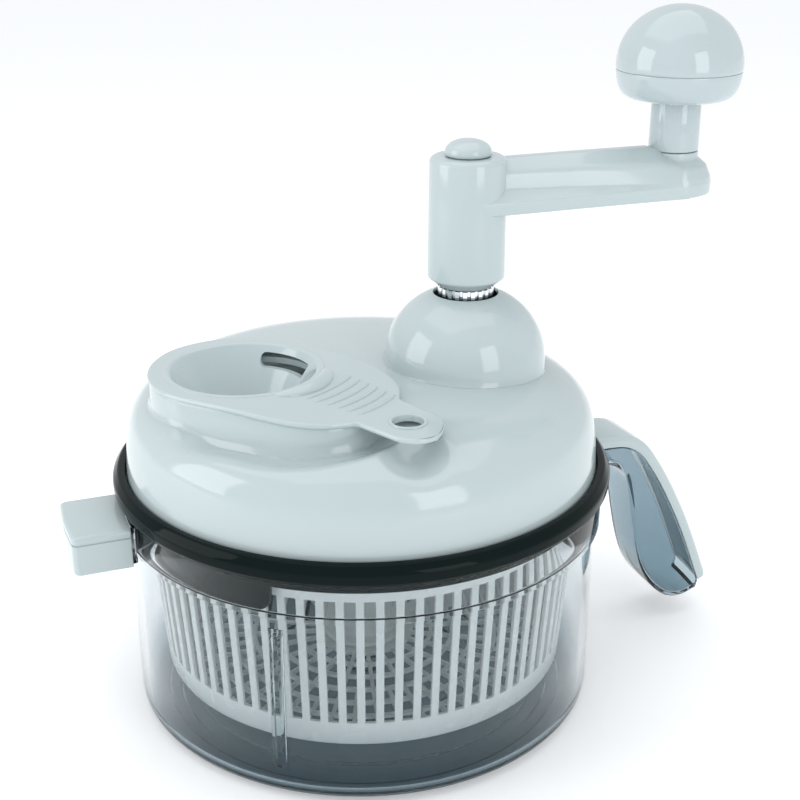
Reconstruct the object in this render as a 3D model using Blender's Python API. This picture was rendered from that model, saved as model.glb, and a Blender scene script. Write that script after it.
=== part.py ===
"""Hand-cranked salad spinner and food processor, modelled as separate pieces.

The frame has its origin at the middle of the bowl's underside, +Z up and +X towards
the handle. Dimensions below are in millimetres; meshes are written in metres.
"""
import math

import bmesh
import bpy
from mathutils import Matrix, Vector

MM = 0.001

GAP = 0.3                 # gap between neighbouring pieces

# Bowl
BOWL_RADIUS = 99.5        # outside of the lower wall
COLLAR_RADIUS = 101.9     # outside of the upper collar
BOWL_WALL = 2.4
BOWL_FLOOR = 3.0
BOWL_CORNER = 11.0
STEP_HEIGHT = 81.0        # underside of the collar's step
BOWL_HEIGHT = 98.0
RIB_ANGLE = -128.5        # upright rib on the lower wall, degrees from the handle
LEDGE_HEIGHT = 94.2       # bayonet ledges inside the collar
PIVOT_HEIGHT = 21.0       # top of the moulded post that carries the pivot pin
PIVOT_RADIUS = 2.0

# Smoked locking ring
RING_RADIUS = 105.0
RING_TOP = 107.3
SKIRT_RADIUS = 98.3
SKIRT_WALL = 2.0
SKIRT_BOTTOM = 93.3
TAB_BOTTOM = 82.2
TAB_CENTRES = (-150.0, -30.0, 90.0)
TAB_SPAN = 40.0           # degrees covered by each deep tab

# Lid
LID_WALL = 2.5
LID_SEAT = 103.3
LID_PROFILE = ((99.1, LID_SEAT), (98.8, 112.0), (98.0, 122.0), (95.6, 130.0), (91.2, 135.3),
               (85.6, 138.6), (79.0, 140.8), (70.0, 142.4), (58.0, 143.6), (40.0, 144.5),
               (20.0, 145.0), (0.0, 145.1))

# Gear train: a crank shaft beside the middle drives the basket in the middle
GEAR_MODULE = 1.5
DRIVE_TEETH = 45
PINION_TEETH = 15
CRANK_ANGLE = -6.0        # direction from the bowl's axis to the crank's
CRANK_OFFSET = GEAR_MODULE * (DRIVE_TEETH + PINION_TEETH) / 2.0
CRANK_X = CRANK_OFFSET * math.cos(math.radians(CRANK_ANGLE))
CRANK_Y = CRANK_OFFSET * math.sin(math.radians(CRANK_ANGLE))
GEAR_BOTTOM = 123.0
GEAR_THICKNESS = 6.0
TRAY_BOTTOM = 116.0
TRAY_TOP = 133.5
TRAY_WALL = 2.0
TRAY_FLOOR = 2.2
SCREW_RADIUS = 1.5
SCREW_RING = 46.5         # the two outer screws' distance from the crank's axis
SHAFT_RADIUS = 6.0
BOSS_BOTTOM = 137.0       # tube in the lid that holds the crank shaft's bush
BOSS_TOP = 152.0

# Bearing dome and crank
DOME_RADIUS = 34.0
DOME_ARC = 30.0
DOME_BASE = 145.6
DOME_MOUTH = 14.2
DOME_WALL = 2.4
COLLAR_SPLINES = 22
SPLINE_RADIUS = 11.7
HUB_BOTTOM = 177.4
HUB_TOP = 231.0
HUB_RADIUS = 16.1
SCREW_HEAD_HEIGHT = 224.0 # floor of the recess for the crank's screw
ARM_LENGTH = 95.0
ARM_BOTTOM = 208.8
ARM_CREASE = 214.2        # top edge of the arm's wide base
ARM_TOP = 228.8
ARM_END_RADIUS = 16.8
KNOB_X = CRANK_X + ARM_LENGTH
KNOB_PIN_RADIUS = 4.0
KNOB_SEAM = 226.8         # where the turning sleeve meets the arm's stub
KNOB_SLEEVE_RADIUS = 10.6
KNOB_UNDERSIDE = 248.4
KNOB_SPLIT = 260.2
KNOB_TOP = 286.6
KNOB_RADIUS = 26.3

# Funnel insert, a teardrop plate with a cup at its round end
CUP_X, CUP_Y = -50.0, 1.0
TAIL_ANGLE = -55.8
PLATE_TOP = 150.5
TAB_TOP = 147.2           # height of the finger tab at the tail
PLATE_THICKNESS = 2.2
BODY_RADIUS = 38.5
BODY_LENGTH = 68.0
TAB_CENTRE = 84.0
TAB_RADIUS = 13.5
CUP_MOUTH = 30.2
CUP_FOOT = 16.0
CUP_FLOOR = 127.0
CUP_HOLE = CUP_MOUTH + 0.9
TAB_HOLE = 6.2
RIDGE_COUNT = 6
RIDGE_PITCH = 4.6
RECESS_X, RECESS_Y = -7.0, -80.0     # finger recess in the lid below the tab
RECESS_RADIUS = 13.0
RECESS_DEPTH = 4.2

# Basket
BASKET_BOTTOM = 18.8
BASKET_FOOT_RADIUS = 86.7
BASKET_TOP = 92.8
BASKET_TAPER = 0.0735     # growth of the radius per unit of height
BASKET_WALL = 1.8
SLOT_COUNT = 76
SLOT_SHARE = 0.57         # part of each pitch that is open
SLOT_BOTTOM = 30.0
SLOT_TOP = 85.4
COLUMN_RADIUS = 13.5
COLUMN_TOP = 105.0

# Handle and the lug opposite it
HANDLE_HALF_WIDTH = 13.0
HANDLE_WALL = 2.3
COVER_HEIGHT = 5.2
HANDLE_BACK = ((102.6, 95.2), (106.0, 95.15), (119.0, 94.7), (126.0, 92.4), (131.0, 88.2),
               (136.5, 80.5), (141.5, 72.5), (147.0, 62.3), (152.5, 51.2), (157.5, 39.8),
               (162.0, 28.6), (166.3, 17.6))
HANDLE_FRONT = ((100.6, 86.8), (114.0, 85.8), (119.0, 83.8), (122.8, 80.2), (124.8, 76.0),
                (126.8, 66.9), (129.2, 53.5), (132.2, 39.8), (135.9, 28.4), (141.0, 19.2),
                (147.0, 13.0), (152.0, 10.2), (158.5, 9.6), (165.0, 12.0))
LUG_LENGTH = 127.0
LUG_HALF_WIDTH = 18.0
LUG_BOTTOM = 79.0
LUG_TOP = 96.0
STUB_REACH = 112.0        # clear stub inside the lug's block
STUB_HALF_WIDTH = 10.0
STUB_INSET = 5.0          # from the block's top and bottom

ROUND = 48                # sides of the large turned pieces
SMALL_ROUND = 16


# ---------------------------------------------------------------- building blocks

def clear_scene():
    for thing in list(bpy.data.objects):
        bpy.data.objects.remove(thing, do_unlink=True)


def plastic(name, colour, roughness=0.3, metallic=0.0, alpha=1.0):
    material = bpy.data.materials.new(name)
    material.use_nodes = True
    shader = material.node_tree.nodes["Principled BSDF"]
    shader.inputs["Base Color"].default_value = (*colour, 1.0)
    shader.inputs["Roughness"].default_value = roughness
    shader.inputs["Metallic"].default_value = metallic
    shader.inputs["Alpha"].default_value = alpha
    return material


def new_object(name, points, faces):
    """A mesh object from points in millimetres, with its normals facing out."""
    mesh = bpy.data.meshes.new(name)
    mesh.from_pydata([Vector(p) * MM for p in points], [], faces)
    body = bmesh.new()
    body.from_mesh(mesh)
    bmesh.ops.recalc_face_normals(body, faces=body.faces)
    body.to_mesh(mesh)
    body.free()
    thing = bpy.data.objects.new(name, mesh)
    bpy.context.scene.collection.objects.link(thing)
    return thing


def turned(name, profile, sides=ROUND, x=0.0, y=0.0):
    """A closed profile of (radius, height) turned about an upright axis at x, y."""
    points = []
    rings = []
    for radius, height in profile:
        if radius < 1e-6:
            rings.append([len(points)] * sides)
            points.append((x, y, height))
            continue
        ring = []
        for k in range(sides):
            turn = 2.0 * math.pi * k / sides
            ring.append(len(points))
            points.append((x + radius * math.cos(turn), y + radius * math.sin(turn), height))
        rings.append(ring)
    faces = []
    for low, high in zip(rings, rings[1:] + rings[:1]):
        for k in range(sides):
            corners = (low[k], low[(k + 1) % sides], high[(k + 1) % sides], high[k])
            face = list(dict.fromkeys(corners))
            if len(face) > 2:
                faces.append(face)
    return new_object(name, points, faces)


def cylinder(name, radius, bottom, top, x=0.0, y=0.0, sides=SMALL_ROUND):
    return prism(name, arc(radius, 0.0, 360.0, sides), bottom, top, x, y)


def arc(radius, first, last, steps, start=0.0, x=0.0, y=0.0):
    """Points along an arc in degrees; a full turn leaves out its repeated last point."""
    count = steps if abs(last - first) >= 360.0 else steps + 1
    points = []
    for k in range(count):
        turn = math.radians(start + first + (last - first) * k / steps)
        points.append((x + radius * math.cos(turn), y + radius * math.sin(turn)))
    return points


def prism(name, outline, bottom, top, x=0.0, y=0.0):
    """An outline in X and Y drawn up from bottom to top."""
    count = len(outline)
    points = [(x + px, y + py, bottom) for px, py in outline]
    points += [(x + px, y + py, top) for px, py in outline]
    faces = [list(range(count)), list(range(count, 2 * count))]
    for k in range(count):
        after = (k + 1) % count
        faces.append([k, after, count + after, count + k])
    return new_object(name, points, faces)


def side_prism(name, outline, half_width):
    """An outline in X and Z drawn out to both sides along Y."""
    count = len(outline)
    points = [(px, -half_width, pz) for px, pz in outline]
    points += [(px, half_width, pz) for px, pz in outline]
    faces = [list(range(count)), list(range(count, 2 * count))]
    for k in range(count):
        after = (k + 1) % count
        faces.append([k, after, count + after, count + k])
    return new_object(name, points, faces)


def combine(body, tool, operation):
    """Apply one exact Boolean and remove the tool."""
    modifier = body.modifiers.new("cut", "BOOLEAN")
    modifier.operation = operation
    modifier.object = tool
    graph = bpy.context.evaluated_depsgraph_get()
    result = bpy.data.meshes.new_from_object(body.evaluated_get(graph))
    body.modifiers.clear()
    body.data = result
    bpy.data.objects.remove(tool, do_unlink=True)
    tidy = bmesh.new()
    tidy.from_mesh(result)
    bmesh.ops.remove_doubles(tidy, verts=tidy.verts, dist=2e-6)
    bmesh.ops.dissolve_degenerate(tidy, edges=tidy.edges, dist=2e-6)
    tidy.to_mesh(result)
    tidy.free()
    return body


def join(body, *tools):
    for tool in tools:
        combine(body, tool, "UNION")
    return body


def cut(body, *tools):
    for tool in tools:
        combine(body, tool, "DIFFERENCE")
    return body


def spline(points, steps):
    """A smooth curve through the points (Catmull-Rom), steps per span."""
    ends = [points[0]] + list(points) + [points[-1]]
    curve = []
    for before, first, second, after in zip(ends, ends[1:], ends[2:], ends[3:]):
        for k in range(steps):
            t = k / steps
            curve.append(tuple(
                0.5 * (2 * b + (c - a) * t + (2 * a - 5 * b + 4 * c - d) * t * t
                       + (3 * b - a - 3 * c + d) * t ** 3)
                for a, b, c, d in zip(before, first, second, after)))
    return curve + [points[-1]]


def offset(curve, distance):
    """The curve moved to its left by distance."""
    moved = []
    for k, (px, pz) in enumerate(curve):
        ax, az = curve[max(k - 1, 0)]
        bx, bz = curve[min(k + 1, len(curve) - 1)]
        length = math.hypot(bx - ax, bz - az)
        moved.append((px - distance * (bz - az) / length, pz + distance * (bx - ax) / length))
    return moved


def finish(thing, material, angle=35.0):
    """Give a piece its material and smooth shading with sharp edges kept."""
    thing.data.materials.clear()
    thing.data.materials.append(material)
    thing.data.shade_smooth()
    thing.data.set_sharp_from_angle(angle=math.radians(angle))
    return thing


def pivot(name, x, y, z, parent=None):
    """An empty on a joint's axis that carries the pieces of one body."""
    empty = bpy.data.objects.new(name, None)
    empty.empty_display_size = 0.02
    bpy.context.scene.collection.objects.link(empty)
    empty.location = Vector((x, y, z)) * MM
    if parent is not None:
        empty.parent = parent
        empty.location = Vector((x, y, z)) * MM - parent_place(parent)
    return empty


def parent_place(empty):
    place = Vector((0.0, 0.0, 0.0))
    while empty is not None:
        place += empty.location
        empty = empty.parent
    return place


def carry(thing, empty):
    """Move a piece drawn in the world onto its empty without changing where it is."""
    thing.data.transform(Matrix.Translation(-parent_place(empty)))
    thing.parent = empty
    return thing


# ---------------------------------------------------------------- bowl

def bowl():
    """The clear bowl: turned body, rib, bayonet ledges, handle channel, lug stub and pin post."""
    inner = BOWL_RADIUS - BOWL_WALL
    collar_inner = COLLAR_RADIUS - BOWL_WALL
    corner = [(BOWL_RADIUS - BOWL_CORNER + BOWL_CORNER * math.sin(math.radians(a)),
               BOWL_CORNER - BOWL_CORNER * math.cos(math.radians(a))) for a in (0, 30, 60, 90)]
    inside = BOWL_CORNER - 1.5
    inner_corner = [(inner - inside + inside * math.sin(math.radians(a)),
                     BOWL_FLOOR + inside - inside * math.cos(math.radians(a)))
                    for a in (90, 60, 30, 0)]
    profile = [(0.0, 0.0)] + corner
    profile += [(BOWL_RADIUS, STEP_HEIGHT), (COLLAR_RADIUS, STEP_HEIGHT + 1.0),
                (COLLAR_RADIUS, BOWL_HEIGHT), (collar_inner, BOWL_HEIGHT),
                (collar_inner, STEP_HEIGHT + 3.0), (inner, STEP_HEIGHT + 1.6)]
    profile += inner_corner + [(8.0, BOWL_FLOOR), (5.6, PIVOT_HEIGHT), (0.0, PIVOT_HEIGHT)]
    body = turned("bowl", profile)
    rib = prism("rib", [(-0.6, -2.2), (0.9, -1.6), (0.9, 1.6), (-0.6, 2.2)],
                BOWL_CORNER + 6.0, STEP_HEIGHT - 4.0, BOWL_RADIUS)
    rib.data.transform(Matrix.Rotation(math.radians(RIB_ANGLE), 4, "Z"))
    join(body, rib)
    for middle in TAB_CENTRES:
        outline = arc(collar_inner + 0.5, middle - 34.0, middle - 6.0, 6)
        outline += arc(SKIRT_RADIUS + 0.5, middle - 6.0, middle - 34.0, 6)
        join(body, prism("ledge", outline, LEDGE_HEIGHT, LEDGE_HEIGHT + 1.3))
    join(body, side_prism("handle", handle_outline(), HANDLE_HALF_WIDTH))
    cut(body, side_prism("channel", channel_outline(), HANDLE_HALF_WIDTH - HANDLE_WALL))
    join(body, lug_stub())
    return cut(body, cylinder("pin_hole", PIVOT_RADIUS + GAP, PIVOT_HEIGHT - 9.0, PIVOT_HEIGHT + 2.0))


def handle_outline():
    """The clear channel's side: under the cover line and back along its inner edge."""
    back = offset(spline(HANDLE_BACK, 2), -GAP)
    return back + spline(HANDLE_FRONT, 2)[::-1]


def channel_outline():
    """The hollow of the channel, open towards the cover."""
    back = offset(spline(HANDLE_BACK, 2), 2.0)
    front = offset(spline(HANDLE_FRONT, 2), 2.4)
    return [p for p in back if p[0] > 107.0] + [p for p in front if 107.0 < p[0] < 162.0][::-1]


def lug_stub(name="lug_stub", root=-COLLAR_RADIUS + 1.0, growth=0.0):
    """The clear stub that carries the lug's block; grown, it is the block's hollow."""
    half, reach = STUB_HALF_WIDTH + growth, -STUB_REACH - growth
    outline = [(root, -half), (reach, -half), (reach, half), (root, half)]
    return prism(name, outline, LUG_BOTTOM + STUB_INSET - growth, LUG_TOP - STUB_INSET + growth)


def rounded_outline(corners, radius, steps=4):
    """A polygon with each corner turned into an arc."""
    outline = []
    count = len(corners)
    for k, corner in enumerate(corners):
        here = Vector(corner)
        to_last = (Vector(corners[k - 1]) - here).normalized()
        to_next = (Vector(corners[(k + 1) % count]) - here).normalized()
        half = to_last.angle(to_next) / 2.0
        reach = radius / math.tan(half)
        centre = here + (to_last + to_next).normalized() * (radius / math.sin(half))
        first = here + to_last * reach - centre
        last = here + to_next * reach - centre
        sweep = first.angle_signed(last)
        for step in range(steps + 1):
            turn = Matrix.Rotation(-sweep * step / steps, 2)
            outline.append(tuple(centre + turn @ first))
    return outline


def lug_cover():
    """The plain block that slides over the lug, with a hollow for the clear stub."""
    corners = [(-COLLAR_RADIUS - 1.2, -LUG_HALF_WIDTH), (-COLLAR_RADIUS - 1.2, LUG_HALF_WIDTH),
               (-LUG_LENGTH, LUG_HALF_WIDTH), (-LUG_LENGTH, -LUG_HALF_WIDTH)]
    body = prism("grip_cover", rounded_outline(corners, 1.5, 2), LUG_BOTTOM, LUG_TOP)
    groove = [(-140.0, -LUG_HALF_WIDTH - 2.0), (-95.0, -LUG_HALF_WIDTH - 2.0),
              (-95.0, -LUG_HALF_WIDTH + 0.7), (-140.0, -LUG_HALF_WIDTH + 0.7)]
    return cut(body, cylinder("collar_clear", COLLAR_RADIUS + 0.5, LUG_BOTTOM - 1.0, LUG_TOP + 1.0, sides=ROUND),
               lug_stub("hollow", -90.0, GAP), prism("groove", groove, LUG_TOP - 3.6, LUG_TOP - 2.8))


def handle_cover():
    """The white cap that closes the handle's channel."""
    line = spline(HANDLE_BACK, 2)
    start = 2             # begins just outside the ring's flange
    outer = offset(line, COVER_HEIGHT)[start:]
    body = side_prism("handle_cover", line[start:] + outer[::-1], HANDLE_HALF_WIDTH)
    inner = offset(line, COVER_HEIGHT - 2.2)[start + 1:-1]
    below = offset(line, -1.0)[start + 1:-1]
    return cut(body, side_prism("cover_hollow", below + inner[::-1], HANDLE_HALF_WIDTH - HANDLE_WALL))


def pivot_pin():
    """Steel pin in the bowl's post, rounded at its top, that the basket runs on."""
    return turned("pivot_pin", [(0.0, PIVOT_HEIGHT - 8.5), (PIVOT_RADIUS, PIVOT_HEIGHT - 8.5),
                                (PIVOT_RADIUS, PIVOT_HEIGHT + 5.0), (1.2, PIVOT_HEIGHT + 6.0),
                                (0.0, PIVOT_HEIGHT + 6.2)], sides=SMALL_ROUND)


# ---------------------------------------------------------------- locking ring

def locking_ring():
    """The flange over the bowl's rim, its skirt, three deep tabs and their bayonet lugs."""
    inner = SKIRT_RADIUS - SKIRT_WALL
    profile = [(inner, SKIRT_BOTTOM), (SKIRT_RADIUS, SKIRT_BOTTOM), (SKIRT_RADIUS, BOWL_HEIGHT + GAP),
               (103.4, BOWL_HEIGHT + GAP), (104.7, BOWL_HEIGHT + 1.6), (RING_RADIUS, 101.6),
               (RING_RADIUS, 103.6), (104.0, 105.9), (102.2, RING_TOP), (99.6, RING_TOP),
               (99.6, LID_SEAT - GAP), (inner, LID_SEAT - GAP)]
    body = turned("locking_ring", profile)
    for middle in TAB_CENTRES:
        half = TAB_SPAN / 2.0
        outline = arc(inner + 0.3, middle - half, middle + half, 6)
        outline += arc(inner - SKIRT_WALL + 0.3, middle + half, middle - half, 6)
        join(body, prism("tab", outline, TAB_BOTTOM, SKIRT_BOTTOM + 2.0))
        lug = arc(SKIRT_RADIUS + 0.6, middle - 26.0, middle - 14.0, 3)
        lug += arc(SKIRT_RADIUS - 1.0, middle - 14.0, middle - 26.0, 3)
        join(body, prism("ring_lug", lug, LEDGE_HEIGHT - 2.6, LEDGE_HEIGHT - 0.5))
    return body


# ---------------------------------------------------------------- lid

def lid_surface(radius):
    """Height of the lid's outside at a distance from its axis."""
    for (outer, low), (inner, high) in zip(LID_PROFILE, LID_PROFILE[1:]):
        if inner <= radius <= outer:
            return low + (high - low) * (outer - radius) / (outer - inner)
    return LID_SEAT


def lid_blank(name, growth, base):
    """The lid's outside as a filled solid, grown outwards by growth."""
    line = offset([(radius, height) for radius, height in LID_PROFILE], -growth)
    line[-1] = (0.0, LID_PROFILE[-1][1] + growth)
    return turned(name, [(0.0, base), (line[0][0], base)] + line)


def tail(distance):
    """Half width of the teardrop body at a distance along its tail."""
    if distance < 0.0:
        return math.sqrt(max(BODY_RADIUS ** 2 - distance ** 2, 0.0))
    narrowing = 1.0 - 0.12 * distance / 45.0
    return BODY_RADIUS * narrowing * math.sqrt(max(1.0 - (distance / BODY_LENGTH) ** 6, 0.0))


def tab(distance):
    """Half width of the finger tab at the tail's end."""
    if distance > TAB_CENTRE:
        return math.sqrt(max(TAB_RADIUS ** 2 - (distance - TAB_CENTRE) ** 2, 0.0))
    return TAB_RADIUS + 1.5 * min((TAB_CENTRE - distance) / 30.0, 1.0)


def plate_width(distance):
    """Half width of the whole plate: the body blended into the finger tab."""
    body, finger = tail(distance), tab(distance)
    if distance > BODY_LENGTH + 5.0 or distance < 30.0:
        return max(body, finger) if distance > 30.0 else body
    return (body ** 5 + finger ** 5) ** 0.2


def plate_height(distance):
    """The plate's top bends down smoothly from the cup to the finger tab."""
    t = min(max((distance - 20.0) / (TAB_CENTRE - 20.0), 0.0), 1.0)
    return PLATE_TOP - (PLATE_TOP - TAB_TOP) * t * t * (3.0 - 2.0 * t)


def stations(first, last, count):
    """Places along the tail, closer together towards both round ends."""
    middle, half = (first + last) / 2.0, (last - first) / 2.0
    return [middle - half * math.cos(math.pi * k / count) for k in range(count + 1)]


def teardrop(name, places, width, top, bottom):
    """A solid over a teardrop outline, its top and bottom given along the tail."""
    turn = math.radians(TAIL_ANGLE)
    along = Vector((math.cos(turn), math.sin(turn)))
    across = Vector((-along.y, along.x))
    cup = Vector((CUP_X, CUP_Y))
    points = []
    rows = []
    for k, place in enumerate(places):
        half = 0.0 if k in (0, len(places) - 1) else width(place)
        row = []
        for side, height in ((-1, bottom(place)), (1, bottom(place)), (1, top(place)), (-1, top(place))):
            spot = cup + along * place + across * (half * side)
            if half == 0.0 and side == 1:
                row.append(row[0] if height == bottom(place) else len(points))
                if height != bottom(place):
                    points.append((spot.x, spot.y, height))
                continue
            if half == 0.0 and height == top(place):
                row.append(row[2])
                continue
            row.append(len(points))
            points.append((spot.x, spot.y, height))
        rows.append(row)
    faces = []
    for low, high in zip(rows, rows[1:]):
        for k in range(4):
            after = (k + 1) % 4
            face = list(dict.fromkeys((low[k], low[after], high[after], high[k])))
            if len(face) > 2:
                faces.append(face)
    return new_object(name, points, faces)


def lid_shell():
    """The domed lid with its raised chute wall, shaft tube, screw posts, holes and finger recess."""
    inner = offset([(radius, height) for radius, height in LID_PROFILE], LID_WALL)
    inner[-1] = (0.0, LID_PROFILE[-1][1] - LID_WALL)
    inner[0] = (inner[0][0], LID_SEAT)
    inner = [p for k, p in enumerate(inner) if k not in (1, 5, 7, 9, 10)]
    body = turned("lid_shell", list(LID_PROFILE) + inner[::-1])

    chute = teardrop("chute", stations(-BODY_RADIUS + 1.2, BODY_LENGTH - 1.0, 16),
                     lambda s: max(tail(s) - 1.2, 0.05),
                     lambda s: plate_height(s) - PLATE_THICKNESS - GAP, lambda s: 129.0)
    inside = teardrop("inside", stations(-BODY_RADIUS + 3.6, BODY_LENGTH - 4.2, 16),
                      lambda s: max(tail(s) - 3.6, 0.05), lambda s: 160.0, lambda s: 120.0)
    cut(chute, inside, turned("under_lid", lid_underside(), sides=ROUND))
    join(body, chute)

    x, y = CRANK_X, CRANK_Y
    join(body, cylinder("shaft_boss", 11.0, BOSS_BOTTOM, BOSS_TOP, x, y))
    for px, py in screw_places():
        join(body, cylinder("screw_boss", 4.2, TRAY_TOP + GAP - 10.0, lid_surface(math.hypot(px, py)) - 1.0,
                            px, py, sides=10))
    join(body, recess_wall())
    cut(body, recess_room(), cylinder("cup_hole", CUP_HOLE, 110.0, 170.0, CUP_X, CUP_Y, sides=32),
        cylinder("shaft_hole", 8.0 + GAP, 110.0, 170.0, x, y))
    for px, py in screw_places():
        cut(body, cylinder("screw_hole", SCREW_RADIUS + GAP, TRAY_TOP - 12.0, TRAY_TOP + 1.0, px, py, sides=8))
    return body


def lid_underside():
    """A filled solid reaching up to half way through the lid's wall."""
    line = offset([(radius, height) for radius, height in LID_PROFILE], LID_WALL / 2.0)
    line[-1] = (0.0, LID_PROFILE[-1][1] - LID_WALL / 2.0)
    return [(0.0, 100.0), (line[0][0], 100.0)] + line


def recess_line(growth):
    """A flattened ball's half section below the lid's surface, and the surface's height there."""
    level = lid_surface(math.hypot(RECESS_X, RECESS_Y))
    radius, depth = RECESS_RADIUS + growth, RECESS_DEPTH + growth + 1.5
    line = [(radius * math.sin(math.radians(a)), level + 1.5 - depth * math.cos(math.radians(a)))
            for a in range(0, 91, 15)]
    return line, level


def recess_room():
    line, level = recess_line(0.0)
    return turned("recess_room", line + [(RECESS_RADIUS, level + 14.0), (0.0, level + 14.0)],
                  sides=SMALL_ROUND, x=RECESS_X, y=RECESS_Y)


def recess_wall():
    """The same ball grown by the wall's thickness and cut level just under the lid's surface."""
    line, level = recess_line(2.0)
    top = level - 0.8
    profile = [(r, min(z, top)) for r, z in line[:-1]]
    return turned("recess_wall", profile + [(0.9 * line[-1][0], top), (0.0, top)],
                  sides=SMALL_ROUND, x=RECESS_X, y=RECESS_Y)


def screw_places():
    """The gearbox tray's four screws: two beside the drive gear, two beside the pinion."""
    return arc(SCREW_RING, 75.0, -75.0, 1, 0.0, CRANK_X, CRANK_Y) + [(-5.0, 25.5), (-4.0, -26.5)]


def bearing_dome():
    """Half ball over the crank's bearing; its foot follows the lid's surface."""
    def line(inset):
        reach = DOME_ARC - inset
        lean = DOME_RADIUS - DOME_ARC
        last = math.degrees(math.acos((DOME_MOUTH - lean) / reach))
        return [(lean + reach * math.cos(math.radians(last * k / 6)),
                 DOME_BASE + reach * math.sin(math.radians(last * k / 6))) for k in range(7)]
    outer, inner = line(0.0), line(DOME_WALL)
    profile = [(DOME_RADIUS, 136.0)] + outer + inner[::-1] + [(DOME_RADIUS - DOME_WALL, 136.0)]
    body = turned("bearing_dome", profile, sides=28, x=CRANK_X, y=CRANK_Y)
    return cut(body, lid_blank("lid_clear", GAP, LID_SEAT - 3.0))


# ---------------------------------------------------------------- gearbox

def tray_outline(big, small):
    """Outline round the drive gear and the pinion, two circles and their tangents."""
    lean = math.degrees(math.acos((big - small) / CRANK_OFFSET))
    outline = arc(big, lean - 180.0, 180.0 - lean, 18, CRANK_ANGLE, CRANK_X, CRANK_Y)
    outline += arc(small, 180.0 - lean, 180.0 + lean, 8, CRANK_ANGLE)
    return outline


def gearbox_cover():
    """The tray under the gears, with four ears for its screws and a seat for each axis."""
    body = prism("gearbox_cover", tray_outline(40.0, 18.5), TRAY_BOTTOM, TRAY_TOP)
    for px, py in screw_places():
        join(body, cylinder("ear", 5.0, TRAY_BOTTOM, TRAY_BOTTOM + 4.0, px, py, sides=10))
        centre = Vector((CRANK_X, CRANK_Y)) if px > 10.0 else Vector((0.0, 0.0))
        reach = Vector((px, py)) - centre
        side = Vector((-reach.y, reach.x)).normalized() * 4.0
        inner = centre + reach * 0.75
        corners = [inner - side, Vector((px, py)) - side, Vector((px, py)) + side, inner + side]
        join(body, prism("web", [tuple(c) for c in corners], TRAY_BOTTOM, TRAY_BOTTOM + 4.0))
    room = tray_outline(40.0 - TRAY_WALL, 18.5 - TRAY_WALL)
    cut(body, prism("room", room, TRAY_BOTTOM + TRAY_FLOOR, TRAY_TOP + 5.0),
        cylinder("shaft_seat", SHAFT_RADIUS + GAP, TRAY_BOTTOM - 5.0, TRAY_BOTTOM + 6.0, CRANK_X, CRANK_Y),
        cylinder("bush_seat", 6.0 + GAP, TRAY_BOTTOM - 5.0, TRAY_BOTTOM + 6.0))
    for px, py in screw_places():
        cut(body, cylinder("ear_hole", SCREW_RADIUS + GAP, TRAY_BOTTOM - 2.0, TRAY_BOTTOM + 8.0, px, py, sides=8))
    return body


def gearbox_screw(number, px, py):
    top = TRAY_BOTTOM - GAP
    return turned("gearbox_screw_%d" % number,
                  [(0.0, top - 2.0), (2.4, top - 2.0), (3.0, top - 1.2), (3.0, top), (SCREW_RADIUS, top),
                   (SCREW_RADIUS, TRAY_TOP - 2.5), (0.0, TRAY_TOP - 2.5)], sides=10, x=px, y=py)


def gear_outline(teeth, first):
    """Involute teeth at 20 degrees, thinned for backlash, with one tooth at first."""
    pitch = GEAR_MODULE * teeth / 2.0
    base = pitch * math.cos(math.radians(20.0))
    root = pitch - 1.25 * GEAR_MODULE
    tip = pitch + 0.9 * GEAR_MODULE

    def involute(radius):
        pressure = math.acos(min(base / radius, 1.0))
        return math.tan(pressure) - pressure
    half = math.pi / (2.0 * teeth) - 0.12 / pitch
    levels = [max(base, root), pitch, tip]
    flank = [(radius, half + involute(pitch) - involute(radius)) for radius in levels]
    if root < base:
        flank.insert(0, (root, flank[0][1]))
    outline = []
    for k in range(teeth):
        middle = math.radians(first) + 2.0 * math.pi * k / teeth
        for radius, lean in flank:
            outline.append((radius * math.cos(middle - lean), radius * math.sin(middle - lean)))
        for radius, lean in flank[::-1]:
            outline.append((radius * math.cos(middle + lean), radius * math.sin(middle + lean)))
    return outline


def drive_gear():
    """The large gear on the crank's shaft."""
    body = prism("drive_gear", gear_outline(DRIVE_TEETH, CRANK_ANGLE + 180.0), GEAR_BOTTOM,
                 GEAR_BOTTOM + GEAR_THICKNESS, CRANK_X, CRANK_Y)
    join(body, cylinder("gear_hub", 10.0, GEAR_BOTTOM - 3.0, GEAR_BOTTOM + GEAR_THICKNESS + 2.0,
                        CRANK_X, CRANK_Y))
    return cut(body, cylinder("gear_bore", SHAFT_RADIUS + GAP, 100.0, 150.0, CRANK_X, CRANK_Y))


def pinion_gear():
    """The small gear with its spindle and the two-winged dog that turns the basket."""
    body = prism("pinion_gear", gear_outline(PINION_TEETH, CRANK_ANGLE + 180.0 / PINION_TEETH),
                 GEAR_BOTTOM - 1.0, GEAR_BOTTOM + GEAR_THICKNESS + 1.0)
    spindle = turned("spindle", [(0.0, 96.0), (2.0, 96.0), (2.6, 97.0), (2.6, 106.0), (4.0, 107.5),
                                 (4.0, GEAR_BOTTOM + 14.0), (3.0, GEAR_BOTTOM + 15.0),
                                 (0.0, GEAR_BOTTOM + 15.0)], sides=14)
    join(body, spindle)
    wings = prism("wings", [(-4.9, -1.2), (4.9, -1.2), (4.9, 1.2), (-4.9, 1.2)], 97.2, 104.0)
    return join(body, wings)


def sleeve(name, inner, outer, bottom, top, flange, x=0.0, y=0.0):
    """A flanged plain bush."""
    return turned(name, [(inner, bottom), (flange, bottom), (flange, bottom + 1.4), (outer, bottom + 1.4),
                         (outer, top), (inner, top)], x=x, y=y, sides=SMALL_ROUND)


# ---------------------------------------------------------------- crank

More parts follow.
